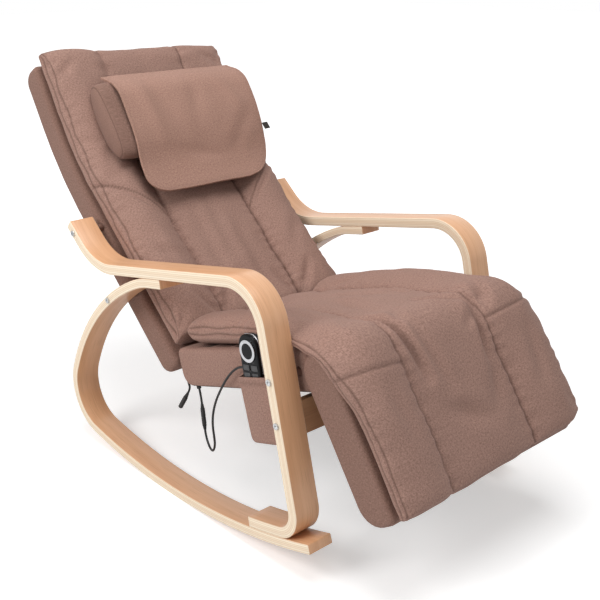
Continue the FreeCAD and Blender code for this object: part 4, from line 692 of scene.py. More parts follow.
def rockerPath():
    s = stripSettings
    half = s["rockerThickness"] / 2
    runnerCentre = Vector((0, s["runnerRadius"]))
    toeAngle = math.degrees(math.asin(s["toeReach"] / s["runnerRadius"]))
    tailY = s["rearReach"] - s["tailRadius"]
    tailAngle = math.degrees(math.asin(tailY / (s["runnerRadius"] - s["tailRadius"])))
    tailCentre = runnerCentre + towards(tailAngle - 90) * (s["runnerRadius"] - s["tailRadius"])
    riseOut = towards(90 - s["riseHeading"])
    riseCentre = tailCentre + riseOut * (s["tailRadius"] - s["riseRadius"])
    forward = 180 - s["armSlope"]
    armUp = towards(forward - 90)
    armBack = towards(-s["armSlope"])
    # the lap's centre is looked for from 0.2 ahead of the corner
    lapStart = Vector(s["rearCorner"]) - armUp * (s["armThickness"] + s["lapRadius"]) - armBack * 0.2
    lapCentre = meetCircle(lapStart, armBack, riseCentre, s["riseRadius"] - s["lapRadius"])
    lapHeading = headingOf(lapCentre - riseCentre) + 90
    riseHeading = 180 - s["riseHeading"]
    start = runnerCentre + towards(-90 - toeAngle) * (s["runnerRadius"] - half)
    turns = [(s["runnerRadius"], tailAngle + toeAngle), (s["tailRadius"], riseHeading - tailAngle),
             (s["riseRadius"], lapHeading - riseHeading), (s["lapRadius"], forward - lapHeading)]
    pieces = [((radius - half) * math.radians(angle), radius - half) for radius, angle in turns]
    pieces.append((s["lapStraight"], 0))
    return {"start": tuple(start), "slope": -toeAngle, "pieces": pieces}


def stripCoords(path, y, z, reach):
    # distance along the strip's middle line, and off it, of a point in the side plane
    best = None
    done = 0.0
    for length, radius in path["pieces"]:
        startY, startZ, slope = walkPath(path, done)
        if radius:
            centreY = startY - radius * math.sin(slope)
            centreZ = startZ + radius * math.cos(slope)
            away = math.hypot(y - centreY, z - centreZ)
            side = 1 if radius > 0 else -1
            angle = math.atan2((z - centreZ) * side, (y - centreY) * side) - (slope - math.pi / 2)
            angle = (angle + math.pi) % (2 * math.pi) - math.pi
            along = angle * radius
            off = (abs(radius) - away) * side
        else:
            along = (y - startY) * math.cos(slope) + (z - startZ) * math.sin(slope)
            off = (z - startZ) * math.cos(slope) - (y - startY) * math.sin(slope)
        beyond = max(-along, along - length, 0)
        miss = beyond + max(abs(off) - reach, 0)
        if best is None or miss < best[0]:
            best = (miss, done + along, off)
        done += length
    return best[1], best[2]


def bentStrip(name, path, thickness, middleX):
    # the strip's cut face is drawn along the path and turned where the path bends
    freshStart()
    bpy.ops.mesh.primitive_plane_add(size=1)
    obj = namedPiece(name)
    y, z, slope = walkPath(path, 0)
    obj.scale = (stripSettings["width"], thickness, 1)
    obj.rotation_euler = (slope - math.pi / 2, 0, 0)
    obj.location = (middleX, y, z)
    bpy.ops.object.transform_apply(location=True, rotation=True, scale=True)
    startEdit(obj)
    done = 0.0
    for length, radius in path["pieces"]:
        y, z, slope = walkPath(path, done)
        if radius:
            centre = (middleX, y - radius * math.sin(slope), z + radius * math.cos(slope))
            steps = max(4, round(math.degrees(abs(length / radius)) / 3), round(length / 0.02))
            bpy.ops.mesh.spin(steps=steps, angle=-length / radius, center=centre, axis=(1, 0, 0))
        else:
            step = (0, length * math.cos(slope), length * math.sin(slope))
            bpy.ops.mesh.extrude_region_move(TRANSFORM_OT_translate={"value": step})
        done += length
    closeAndTurnOut(obj)
    return obj


def planeToe(rocker):
    # the toe's lower edge is planed off
    places = [vertex.co.copy() for vertex in rocker.data.vertices]
    toeY = min(place.y for place in places)
    lowest = min((place for place in places if place.y < toeY + 0.02), key=lambda place: place.z)

    def onToe(edge):
        return all(abs(v.co.y - lowest.y) < 0.0005 and abs(v.co.z - lowest.z) < 0.0005 for v in edge.verts)

    startEdit(rocker)
    selectWhere(rocker, "EDGE", onToe)
    bpy.ops.mesh.bevel(offset=stripSettings["toeBevel"], segments=3)
    freshStart()


def finishStrip(obj, path, thickness, node):
    addBevel(obj, stripSettings["edgeRound"], 3)
    mesh = obj.data

    def onEdge(face):
        return abs(face.normal.x) > 0.6

    def grainPlace(face, index):
        x, y, z = mesh.vertices[index].co
        along, off = stripCoords(path, y, z, thickness)
        return along, (off + 0.5 * thickness if onEdge(face) else x + 0.3)

    mapFaces(mesh, "grainMap", grainPlace)
    dress(obj, "stripVeneer", "stripEdge")
    for face in mesh.polygons:
        face.material_index = 1 if onEdge(face) else 0
    smoothByAngle(obj, 30)
    handOver(obj, "bent_wood", "chair", node)


for side, sign in (("Right", -1), ("Left", 1)):
    stripX = sign * stripSettings["middleX"]
    arm = bentStrip("armStrip" + side, armPath(), stripSettings["armThickness"], stripX)
    finishStrip(arm, armPath(), stripSettings["armThickness"], "arm_strip_" + side.lower())
    rocker = bentStrip("rocker" + side, rockerPath(), stripSettings["rockerThickness"], stripX)
    planeToe(rocker)
    finishStrip(rocker, rockerPath(), stripSettings["rockerThickness"], "rocker_" + side.lower())
print("side strips ready")


# grid boxes: a cube whose edges are divided along each axis, then laid out by its row numbers
def alongAxis(edge, axis):
    span = edge.verts[0].co - edge.verts[1].co
    return abs(span[axis]) > 0.5 * span.length


def gridBox(name, cuts):
    freshStart()
    bpy.ops.mesh.primitive_cube_add(size=2)
    obj = namedPiece(name)
    startEdit(obj)
    for axis, cut in enumerate(cuts):
        selectWhere(obj, "EDGE", lambda edge: alongAxis(edge, axis))
        bpy.ops.mesh.subdivide(number_cuts=cut)
    freshStart()
    return obj


def spreadRows(start, end, count, dense):
    # row places from start to end, closer together near the places in dense (place, strength, reach)
    samples = 400
    total = [0.0]
    for index in range(samples):
        at = start + (end - start) * (index + 0.5) / samples
        total.append(total[-1] + 1 + sum(k * math.exp(-((at - p) / w) ** 2) for p, k, w in dense))
    rows = []
    seek = 0
    for row in range(count + 1):
        goal = total[-1] * row / count
        while seek < samples - 1 and total[seek + 1] < goal:
            seek += 1
        part = (goal - total[seek]) / (total[seek + 1] - total[seek])
        rows.append(start + (end - start) * (seek + part) / samples)
    return rows


def rowNumbers(co, cuts):
    return [round((value + 1) / 2 * (cut + 1)) for value, cut in zip(co, cuts)]


def smoothStep(low, high, value):
    share = min(max((value - low) / (high - low), 0.0), 1.0)
    return share * share * (3 - 2 * share)


def foldDepth(folds, x, run):
    # soft creases: a groove with raised shoulders along a short line, fading at both ends
    total = 0.0
    for x0, s0, x1, s1, depth, width in folds:
        lineX = x1 - x0
        lineS = s1 - s0
        size = lineX * lineX + lineS * lineS
        along = ((x - x0) * lineX + (run - s0) * lineS) / size
        held = min(max(along, 0.0), 1.0)
        gap = math.hypot(x - x0 - held * lineX, run - s0 - held * lineS) / width
        if gap > 3.2:
            continue
        fade = math.sin(math.pi * (0.12 + 0.76 * held))
        total -= depth * fade * (1 - 0.8 * gap * gap) * math.exp(-0.7 * gap * gap)
    return total


def unevenness(x, run, seed, size, height):
    return height * noise.noise(Vector((x / size, run / size, seed)))


def bell(distance, width):
    return math.exp(-(distance / width) ** 2)


# upholstered trays behind the pads: a slab with rounded edges, opened to the pad and lined
trayShared = {"wall": 0.006, "rowStep": 0.022, "softSize": 0.09, "softHeight": 0.0012, "softFrom": 0.2}


def trayPiece(tray):
    halfWidth, start, end = tray["halfWidth"], tray["start"], tray["end"]
    rear, front = tray["rear"], tray["front"]
    low, high = tray["opening"]
    openHalf = tray["openHalf"]
    slot = tray["slot"]  # inner side, outer side and lowest run of the hinge slots
    obj = newBlock(tray["name"], (-halfWidth, start, rear), (halfWidth, end, front))
    for run, lift, radius in tray["corners"]:
        selectWhere(obj, "EDGE", lambda edge: all(
            abs(v.co.y - run) + abs(v.co.z - lift) < touching for v in edge.verts))
        bpy.ops.mesh.bevel(offset=radius, segments=7)
    addBevel(obj, tray["rim"], 4, angle=60)
    startEdit(obj)
    count = round((end - start) / trayShared["rowStep"])
    cutsAlong = [start + (end - start) * (row + 0.5) / count for row in range(count)] + [low, high]
    cutsAcross = [halfWidth * quarter / 4 for quarter in range(-3, 4)] + [-openHalf, openHalf]
    if slot:
        cutsAlong.append(slot[2])
        cutsAcross += [-slot[1], -slot[0], slot[0], slot[1]]
    for at in cutsAlong:
        bisectAll((0, at, 0), (0, 1, 0))
    for at in cutsAcross:
        bisectAll((at, 0, 0), (1, 0, 0))
    for share in (0.33, 0.66):
        bisectAll((0, 0, rear + share * (front - rear)), (0, 0, 1))

    def opened(face):
        x, run, lift = face.calc_center_median()
        if slot and slot[0] < abs(x) < slot[1] and run > slot[2]:
            return True
        return face.normal.z > 0.9 and low < run < high and abs(x) < openHalf

    selectWhere(obj, "FACE", opened)
    bpy.ops.mesh.delete(type="FACE")
    freshStart()
    addWall(obj, trayShared["wall"], -1)
    mesh = obj.data

    def weavePlace(face, index):
        x, run, lift = mesh.vertices[index].co
        if abs(face.normal.x) > 0.6:
            return lift + 1, run
        if abs(face.normal.z) > 0.6:
            return x, run
        return x, lift + 2

    mapFaces(mesh, "weaveMap", weavePlace)
    dress(obj, tray["cloth"], "underCloth")
    for face in mesh.polygons:
        if tray["darkUnder"] and face.normal.z < -0.8:
            face.material_index = 1
    for vertex in mesh.vertices:
        x, run, lift = vertex.co
        soft = unevenness(x + lift, run, 2.3, trayShared["softSize"], trayShared["softHeight"])
        vertex.co = pathPoint(tray["path"], x, run, lift)
        vertex.co.x += math.copysign(soft, x) if abs(x) > trayShared["softFrom"] else 0
    mesh.update()
    smoothByAngle(obj, 40)
    return obj


seatLine = {"start": chairPlan["knee"], "slope": chairPlan["seatSlope"], "pieces": [(1.0, 0)]}
legLine = {"start": chairPlan["knee"], "slope": chairPlan["legSlope"], "pieces": [(1.0, 0)]}
backTray = {
    "name": "backShell", "path": backPath, "halfWidth": 0.252, "start": 0.0, "end": backLength, "rear": 0.0,
    "front": 0.070, "corners": [(0, 0, 0.030), (backLength, 0, 0.034), (backLength, 0.070, 0.016),
                                (0, 0.070, 0.013)],
    "rim": 0.014, "opening": (0.050, 0.770), "openHalf": 0.205, "slot": None, "darkUnder": False,
    # the shell wears the darker copy of the pad cloth: painted shade
    "cloth": "shadedCloth",
}
seatTray = {
    "name": "seatBase", "path": seatLine, "halfWidth": 0.252, "start": 0.042, "end": 0.482, "rear": -0.043,
    "front": 0.043, "corners": [(0.042, -0.043, 0.013), (0.482, -0.043, 0.030), (0.482, 0.043, 0.013)],
    "rim": 0.010, "opening": (0.075, 0.440), "openHalf": 0.205, "slot": None, "darkUnder": True,
    "cloth": "padCloth",
}
legTray = {
    "name": "legShell", "path": legLine, "halfWidth": 0.275, "start": -0.292, "end": 0.040, "rear": -0.040,
    "front": 0.040, "corners": [(0.040, 0.040, 0.0395), (0.040, -0.040, 0.0395), (-0.292, -0.040, 0.046),
                                (-0.292, 0.040, 0.015)],
    "rim": 0.012, "opening": (-0.245, -0.050), "openHalf": 0.228, "slot": (0.184, 0.222, -0.045),
    # the shell wears the darker copy of the pad cloth: painted shade
    "darkUnder": False, "cloth": "shadedCloth",
}
for tray, node, body in ((backTray, "back_shell", "chair"), (seatTray, "seat_base", "chair"),
                         (legTray, "leg_shell", "leg_rest")):
    handOver(trayPiece(tray), "upholstery", body, node)
print("trays ready")


# a sewn pad: crowned panels on a base path, a boxed side band, a flat underside
padShared = {
    "panel": 0.112,  # the middle panel's half width
    "panelCurve": 3.2,
    "rollCurve": 2.4,
    "low": 0.30,
    "tuck": 0.034,
    "tuckCurve": 1.6,
    "bulge": 0.004,
    "leanFrom": 0.3,
    "underMap": 3,  # the underside lies this far aside in the weave map
    # the width of the painted shade along sewn lines
    "lineShade": 0.0020,
    "creaseShade": (0.34, 0.0035, 0.0130),  # painted shade in deep creases: strength, and the depths between which it grows
    "seamPucker": (0.0011, 0.022),  # height, width
    "edgePucker": (0.0010, 0.018),
}


def padHeight(pad, x, run):
    width = pad["width"](run)
    crest = pad["crest"](run)
    side = abs(x)
    panel = pad["panel"](x, run)
    valley = pad["valley"](run)
    if side < panel:
        share = side / panel
        lift = pad["middle"](run) - (pad["middle"](run) - valley) * share ** padShared["panelCurve"]
    else:
        share = (side - panel) / (width - panel)
        level = valley + (pad["high"] - valley) * share
        peak = 1 - 0.5 * (valley + pad["high"])
        lift = level + peak * (1 - abs(2 * share - 1) ** padShared["rollCurve"])
    return crest * lift * pad["ends"](run)


def padUnder(pad, x, run):
    tuck = padShared["tuck"]
    tucked = max(abs(x) - (pad["width"](run) - tuck), 0) / tuck
    return pad["under"](x, run) + padShared["low"] * pad["crest"](run) * tucked ** padShared["tuckCurve"]


def buildPad(pad):
    cuts = pad["cuts"]
    obj = gridBox(pad["name"], cuts)
    across = spreadRows(-1, 1, cuts[0] + 1, pad["denseAcross"])
    along = spreadRows(pad["start"], pad["end"], cuts[1] + 1, pad["denseAlong"])
    numbers = [rowNumbers(vertex.co, cuts) for vertex in obj.data.vertices]
    lastRow = [cut + 1 for cut in cuts]

    def weavePlace(face, index):
        i, j, k = numbers[index]
        run = along[j]
        width = pad["width"](run)
        x = across[i] * width
        down = (lastRow[2] - k) / lastRow[2] * pad["band"]
        corners = [numbers[corner] for corner in face.vertices]
        if all(corner[2] == lastRow[2] for corner in corners):
            return x, run
        if all(corner[2] == 0 for corner in corners):
            return x + padShared["underMap"], run
        if all(corner[0] == corners[0][0] for corner in corners):
            return math.copysign(width + down, x), run
        return x, run + (down if j else -down)

    mapFaces(obj.data, "weaveMap", weavePlace)
    for vertex, (i, j, k) in zip(obj.data.vertices, numbers):
        run = along[j]
        x = across[i] * pad["width"](run)
        top = padHeight(pad, x, run)
        under = padUnder(pad, x, run)
        share = k / lastRow[2]
        bulge = padShared["bulge"] * math.sin(math.pi * share)
        lift = under + (top - under) * share
        shift = 0.0
        if i in (0, lastRow[0]):
            x += math.copysign(bulge, x)
        if j in (0, lastRow[1]):
            shift = bulge if j else -bulge
            shift += pad["lean"](j != 0) * (lift - pad["crest"](run) * padShared["leanFrom"])
        shift += pad["reach"](x, run)
        lift -= pad["drop"](x, run)
        vertex.co = pathPoint(pad["path"], x, run + shift, pad["lift"] + lift)
    obj.data.update()
    puff(obj, sewnVertices(pad, obj, numbers, across, along))
    return obj


# cover cloth blown up against its seams, then held to a small change
puffSettings = {"frames": 20, "quality": 5, "mass": 0.4, "pressure": 4.0, "stiffness": 25.0, "bending": 1.5,
                "cap": 0.009, "seamReach": 0.008}


def puff(obj, pinned):
    p = puffSettings
    before = [vertex.co.copy() for vertex in obj.data.vertices]
    group = obj.vertex_groups.new(name="sewn")
    group.add(pinned, 1.0, "REPLACE")
    cover = obj.modifiers.new("cover", "CLOTH")
    cover.settings.quality = p["quality"]
    cover.settings.mass = p["mass"]
    cover.settings.tension_stiffness = p["stiffness"]
    cover.settings.compression_stiffness = p["stiffness"]
    cover.settings.bending_stiffness = p["bending"]
    cover.settings.use_pressure = True
    cover.settings.uniform_pressure_force = p["pressure"]
    cover.settings.effector_weights.gravity = 0
    cover.settings.vertex_group_mass = "sewn"
    cover.collision_settings.use_collision = False
    cover.point_cache.frame_start = 1
    cover.point_cache.frame_end = p["frames"]
    for number in range(1, p["frames"] + 1):
        bpy.context.scene.frame_set(number)
    applyModifiers(obj)
    bpy.context.scene.frame_set(1)
    obj.vertex_groups.clear()
    for vertex, old in zip(obj.data.vertices, before):
        moved = vertex.co - old
        if moved.length > p["cap"]:
            vertex.co = old + moved * (p["cap"] / moved.length)
    obj.data.update()
    print("puffed", obj.name)


def sewnVertices(pad, obj, numbers, across, along):
    # the underside and the panel seams keep their place
    held = []
    for vertex, (i, j, k) in zip(obj.data.vertices, numbers):
        run = along[j]
        x = across[i] * pad["width"](run)
        onSeam = abs(abs(x) - pad["panel"](x, run)) < puffSettings["seamReach"]
        if k <= 1 or onSeam:
            held.append(vertex.index)
    return held


def dressPad(obj, pad):
    # seams, puckers, folds and small unevenness, pushed along the surface by its weave map
    addSubdivision(obj, 1)
    mesh = obj.data
    layer = mesh.uv_layers["weaveMap"]
    places = {}
    for loop in mesh.loops:
        u, v = layer.data[loop.index].uv
        if u < padShared["underMap"] - 1:
            places[loop.vertex_index] = (u, v)
    normals = [vertex.normal.copy() for vertex in mesh.vertices]
    seam = newPaintedShade(mesh)
    for index, (x, run) in places.items():
        height, sewn = sewnDetail(pad, x, run)
        mesh.vertices[index].co += normals[index] * height
        # the seam attribute holds the painted shade of sewn lines and deep creases
        seam[index].value = min(sewn, 1.0)
    mesh.update()
    smoothAll(obj)
    dress(obj, "padCloth")


def sewnDetail(pad, x, run):
    # height and painted shade; the lines are (distance from the line, groove depth, groove width, painted shade)
    height = 0.0
    dark = 0.0
    for distance, depth, width, shade in pad["lines"](x, run):
        height -= depth * bell(distance, width)
        dark = max(dark, shade * bell(distance, padShared["lineShade"]))
    fold = foldDepth(pad["folds"], x, run)
    strength, shallow, deep = padShared["creaseShade"]
    # painted shade: the bottom of a deep crease is coloured darker
    dark = max(dark, strength * smoothStep(shallow, deep, -fold))
    height += fold
    # puckers beside the panel seam and the side edge
    for (wave, sway, slow), line, (rise, width) in (
            (pad["seamPull"], pad["panel"](x, run), padShared["seamPucker"]),
            (pad["edgePull"], pad["edge"](run), padShared["edgePucker"])):
        height += rise * math.sin(run * wave + sway * math.sin(run * slow)) * bell(abs(x) - line, width)
    for seed, size, rise in pad["uneven"]:
        height += unevenness(x, run, seed, size, rise)
    return height, dark


def bandLines(side, inner, outer, wander, run, ends):
    # the two seams of the side band, and those of the band at the pad's end
    # the last value of each line is the strength of its painted shade
    lines = [(distance, 0.0024, 0.0030, 0.60) for distance in (side - inner - wander, side - outer + wander)]
    return lines + [(run - end, 0.0020, 0.0030, 0.5) for end in ends]


def roundedEnd(distance, reach, least):
    # a quarter round from the least height at the end up to the full height
    share = min(max(distance / reach, 0), 1)
    return least + (1 - least) * math.sqrt(1 - (1 - share) ** 2)


backPadFolds = [  # x, run, x, run, depth, width
    (-0.13, 0.330, -0.25, 0.445, 0.0050, 0.006),
    (0.13, 0.315, 0.245, 0.420, 0.0050, 0.006),
    (-0.118, 0.050, -0.175, 0.120, 0.006, 0.012),
    (-0.112, 0.045, -0.070, 0.130, 0.006, 0.013),
    (0.118, 0.050, 0.175, 0.125, 0.006, 0.012),
    (0.112, 0.045, 0.075, 0.120, 0.006, 0.013),
    (-0.06, 0.090, -0.045, 0.330, 0.0035, 0.020),
    (0.035, 0.060, 0.050, 0.300, 0.0035, 0.022),
    (-0.01, 0.200, 0.010, 0.420, 0.0030, 0.022),
    (-0.185, 0.150, -0.205, 0.300, 0.0040, 0.020),
    (-0.150, 0.215, -0.225, 0.250, 0.0030, 0.016),
    (0.160, 0.170, 0.215, 0.250, 0.0035, 0.018),
    (-0.225, 0.430, -0.190, 0.560, 0.0030, 0.018),
    (-0.235, 0.760, -0.190, 0.790, 0.0040, 0.012),
    (0.225, 0.760, 0.180, 0.790, 0.0040, 0.012),
]


def backLines(x, run):
    side = abs(x)
    wander = 0.002 * math.sin(run * 55 + 3 * x)
    deep = smoothStep(0.60, 0.20, run)
    plain = smoothStep(0.02, -0.02, x) * smoothStep(0.06, 0.14, run)  # the near panel seam shows less: a wider groove and lighter painted shade
    fromPanel = side - padShared["panel"]
    lines = bandLines(side, 0.2500, 0.2660, wander, run, (0.8236, 0.8400))
    lines.append((fromPanel - 0.5 * wander, 0.0022 + 0.0022 * deep, 0.0045 + 0.004 * plain, 0.55 - 0.40 * plain))
    # curved shoulder seams from the side edge to the panel seam
    if 0.30 < run < 0.46 and side > 0.11:
        reach = max(fromPanel, 0) / 0.140
        shoulder = (0.322 if x < 0 else 0.305) + 0.125 * reach ** 0.75
        lines.append(((run - shoulder) * 0.75, 0.0028, 0.0045, 0.60))
    return lines


def backUnder(x, run):
    inside = smoothStep(0.214, 0.206, abs(x)) * smoothStep(0.044, 0.052, run) * smoothStep(0.552, 0.544, run)
    return 0.031 * inside


def backReach(x, run):
    # the near top corner is stuffed fuller and stands up past the rest
    top = smoothStep(0.70, backLength, run)
    return top * (0.014 * bell(x + 0.205, 0.085) - 0.003 * smoothStep(0.0, 0.25, x))


def backEnds(run):
    return roundedEnd(run - 0.034, 0.030, 0.80) * roundedEnd(backLength - run, 0.040, 0.62)


backPadSettings = {
    "name": "backPad",
    "path": backPath,
    "start": 0.036,
    "end": 0.824,
    "lift": 0.0705,
    "cuts": (72, 95, 6),
    "denseAcross": [(-0.45, 2, 0.05), (0.45, 2, 0.05), (-1, 1.5, 0.05), (1, 1.5, 0.05)],
    "denseAlong": [(0.036, 1, 0.03), (0.824, 1.5, 0.03)],
    "width": lambda run: 0.248,
    "crest": lambda run: 0.076,
    "panel": lambda x, run: padShared["panel"],
    "edge": lambda run: 0.247,
    "valley": lambda run: 0.70 + 0.20 * smoothStep(0.35, 0.70, run),
    "middle": lambda run: 0.84 + 0.10 * smoothStep(0.35, 0.70, run),
    "high": 0.76,
    "band": 0.034,
    "ends": backEnds,
    "reach": backReach,
    "drop": lambda x, run: 0.0,
    "lean": lambda far: 0.0,
    "under": backUnder,
    "lines": backLines,
    "folds": backPadFolds,
    "seamPull": (235, 1.3, 61),
    "edgePull": (190, 2, 47),
    "uneven": [(1.7, 0.11, 0.0045), (5.2, 0.045, 0.0016)],  # seed, size, height
}
backPad = buildPad(backPadSettings)
dressPad(backPad, backPadSettings)
handOver(backPad, "upholstery", "chair", "back_pad")
print("back pad ready")


# seat, knee and leg pad in one cover that bends over the knee hinge
kneeStart = 0.280
kneeRadius = 0.0435
kneeBend = kneeRadius * math.radians(chairPlan["legSlope"] - chairPlan["seatSlope"])
seatRun = 0.4188
kneeEnd = kneeStart + kneeBend
seatEnd = kneeEnd + seatRun
seatPath = {"start": sidePoint(chairPlan["knee"], chairPlan["legSlope"], -kneeStart, kneeRadius),
            "slope": chairPlan["legSlope"], "pieces": [(kneeStart, 0), (kneeBend, -kneeRadius), (seatRun, 0)]}


def atKnee(run):
    return bell(run - kneeStart - 0.020, 0.075)


def seatWidth(run):
    knee = smoothStep(kneeStart - 0.03, kneeEnd + 0.03, run)
    seat = smoothStep(kneeEnd, seatEnd, run)
    return 0.271 - 0.007 * knee - 0.018 * seat + 0.012 * atKnee(run)


def seatCrest(run):
    knee = smoothStep(kneeStart - 0.02, kneeEnd, run)
    seat = smoothStep(kneeEnd, kneeEnd + 0.22, run)
    return 0.050 - 0.018 * knee + 0.028 * seat


def seatPanel(x, run):
    # the middle panel widens to the near side over the knee and leg
    return padShared["panel"] + (0.030 * smoothStep(kneeEnd + 0.12, kneeStart, run) if x < 0 else 0)


def kneeDrop(x, run):
    # the side edges hang down past the knee's corner
    return 0.026 * atKnee(run) * smoothStep(0.215, 0.285, abs(x))


def seatReach(x, run):
    # the leg end hangs lower on the near side and is rounded on the far side
    foot = smoothStep(0.10, 0.0, run)
    return foot * (0.014 * smoothStep(0.225, 0.275, x) - 0.010 * smoothStep(0.26, -0.26, x))


def seatUnder(x, run):
    return -0.0027 * smoothStep(kneeStart, kneeStart - 0.02, run)


seatPadFolds = [  # x, run, x, run, depth, width
    (-0.118, 0.714, -0.165, 0.634, 0.0055, 0.013),
    (0.118, 0.714, 0.165, 0.634, 0.0055, 0.013),
    (-0.105, 0.724, -0.050, 0.644, 0.0050, 0.014),
    (0.105, 0.724, 0.050, 0.644, 0.0050, 0.014),
    (-0.118, 0.366, -0.098, 0.200, 0.0150, 0.014),
    (-0.080, 0.300, -0.055, 0.170, 0.0070, 0.018),
    (0.100, 0.290, 0.078, 0.195, 0.0130, 0.013),
    (0.120, 0.286, 0.168, 0.318, 0.0090, 0.012),
    (0.108, 0.299, 0.030, 0.354, 0.0100, 0.014),
    (0.112, 0.296, 0.050, 0.264, 0.0050, 0.012),
    (-0.112, 0.299, -0.040, 0.339, 0.0050, 0.012),
    (0.094, 0.690, 0.084, 0.430, 0.0090, 0.012),
    (0.060, 0.444, -0.020, 0.584, 0.0060, 0.026),
    (-0.070, 0.384, -0.030, 0.544, 0.0065, 0.026),
    (-0.200, 0.374, -0.180, 0.494, 0.0030, 0.018),
    (-0.080, 0.134, 0.020, 0.084, 0.0060, 0.022),
    (0.090, 0.194, 0.050, 0.104, 0.0065, 0.020),
    (-0.210, 0.204, -0.190, 0.104, 0.0050, 0.020),
    (0.205, 0.214, 0.190, 0.114, 0.0055, 0.020),
]


def seatLines(x, run):
    side = abs(x)
    width = seatWidth(run)
    wander = 0.0016 * math.sin(run * 52 + 3 * x)
    panel = seatPanel(x, run)
    lines = bandLines(side, width + 0.001, width + 0.016, wander, run, (0.000, -0.015))
    # each sewn line ends with the strength of its painted shade
    lines.append((side - panel - 0.5 * wander, 0.0034, 0.0045, 0.55))
    cross = kneeStart - (0.034 if x < 0 else 0.016)  # seams across the side rolls at the knee
    if side > panel and abs(run - cross) < 0.06:
        lines.append((run - cross - 0.012 * (side - panel) / 0.16, 0.0026, 0.0045, 0.40))
    return lines


seatPadSettings = {
    "name": "seatLegPad",
    "path": seatPath,
    "start": 0.002,
    "end": seatEnd - 0.001,
    "lift": 0.0,
    "cuts": (72, 95, 5),
    "denseAcross": [(-0.42, 2, 0.05), (0.42, 2, 0.05), (-1, 1.5, 0.05), (1, 1.5, 0.05)],
    "denseAlong": [(0.002, 1, 0.03), (0.5 * (kneeStart + kneeEnd), 2.5, 0.05)],
    "width": seatWidth,
    "crest": seatCrest,
    "panel": seatPanel,
    "edge": seatWidth,
    "valley": lambda run: 0.66,
    "middle": lambda run: 0.78,
    "high": 0.74,
    "band": 0.028,
    "ends": lambda run: roundedEnd(run, 0.030, 0.72),
    "reach": seatReach,
    "drop": kneeDrop,
    "lean": lambda far: 0.55 if far else 0.0,
    "under": seatUnder,
    "lines": seatLines,
    "folds": seatPadFolds,
    "seamPull": (225, 1.2, 57),
    "edgePull": (180, 2, 43),
    "uneven": [(3.1, 0.10, 0.0040), (7.9, 0.045, 0.0014)],
}
seatLegPad = buildPad(seatPadSettings)
dressPad(seatLegPad, seatPadSettings)
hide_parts("seat_pad", "knee_pad", "leg_pad")
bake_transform(seatLegPad)
print("seat and leg pad ready")

# head pillow: an oval drum with domed ends, a sewn ring round each end
pillowSettings = {
    "run": 0.600,
    "lift": 0.1475,
    "halfLength": 0.200,
    "halfHeight": 0.117,
    "thickness": 0.060,
    "ends": [(0.0, 0.02), (0.0010, 0.32), (0.0026, 0.60), (0.0050, 0.78), (0.0078, 0.885), (0.0098, 0.920),
             (0.0112, 0.932), (0.0114, 0.945), (0.0130, 0.968), (0.0180, 0.992), (0.0300, 1.01),
             (0.0600, 1.03), (0.0900, 1.03), (0.1300, 1.04)],
    "fullest": 1.045,
    "ring": (0.0100, 0.0122),
    "ringShade": 0.55,
    "oval": 2.5,  # 2 is a plain ellipse, more is fuller
    "mapTurn": 0.07,
}


def buildPillow():
    p = pillowSettings
    half = p["halfLength"]
    ends = p["ends"]
    outline = ends + [(half, p["fullest"])] + [(2 * half - at, size) for at, size in reversed(ends)]
    obj = turnedPiece("headPillow", (-half, 0, 0), (1, 0, 0), outline, sides=64)
    mesh = obj.data

    def weavePlace(face, index):
        x, across, up = mesh.vertices[index].co
        if abs(face.normal.x) > 0.75:
            return across * p["halfHeight"], up * p["halfHeight"] + 1
        return x, math.atan2(up, across) * p["mapTurn"]

    mapFaces(mesh, "weaveMap", weavePlace)
    seam = newPaintedShade(mesh)
    for vertex in mesh.vertices:
        x, across, up = vertex.co
        # painted shade along the sewn ring at each end
        if p["ring"][0] < half - abs(x) < p["ring"][1]:
            seam[vertex.index].value = p["ringShade"]
        angle = math.atan2(up, across)
        oval = (abs(math.cos(angle)) ** p["oval"] + abs(math.sin(angle)) ** p["oval"]) ** (-1 / p["oval"])
        size = oval * math.hypot(across, up)
        run = p["halfHeight"] * size * math.cos(angle)
        lift = max(0.5 * p["thickness"] * (1 + size * math.sin(angle) / p["fullest"]), 0.0006)
        soft = unevenness(x + 0.4, run + lift, 4.4, 0.06, 0.0010) * smoothStep(0.0, 0.03, lift)
        vertex.co = pathPoint(backPath, x, p["run"] + run, p["lift"] + lift + soft)
    mesh.update()
    smoothAll(obj)
    return obj


headPillow = buildPillow()
# the pillow wears the darker copy of the pad cloth: painted shade
dress(headPillow, "shadedCloth")
handOver(headPillow, "upholstery", "chair", "head_pillow")


# flap: thick lined cloth from the pad's top over the pillow, with rounded lower corners and a stitched hem
flapSettings = {
    "lift": 0.1475,
    "top": 0.738,
    "bottom": 0.372,
    "left": (-0.148, -0.158),  # at the top, at the bottom
    "right": (0.230, 0.224),
    "roundLeft": 0.046,
    "roundRight": 0.095,
    "thickness": 0.005,
    "edgeRound": 0.0018,
    "hem": 0.009,
    "profile": [(0.738, 0.006), (0.730, 0.018), (0.720, 0.036), (0.708, 0.050), (0.690, 0.062),
                (0.665, 0.0690), (0.622, 0.0710), (0.590, 0.0705), (0.560, 0.0680), (0.530, 0.0620),
                (0.500, 0.0530), (0.470, 0.0400), (0.440, 0.0290), (0.410, 0.0215), (0.372, 0.0175)],
    "folds": [  # x, run, x, run, depth, width
        (-0.100, 0.690, -0.075, 0.500, -0.0040, 0.020),
        (-0.060, 0.700, -0.020, 0.520, 0.0035, 0.024),
        (0.060, 0.690, 0.040, 0.560, 0.0035, 0.022),
        (0.130, 0.690, 0.180, 0.560, -0.0030, 0.022),
        (0.190, 0.560, 0.120, 0.450, 0.0035, 0.022),
        (-0.030, 0.470, 0.080, 0.440, 0.0025, 0.018),
    ],
}


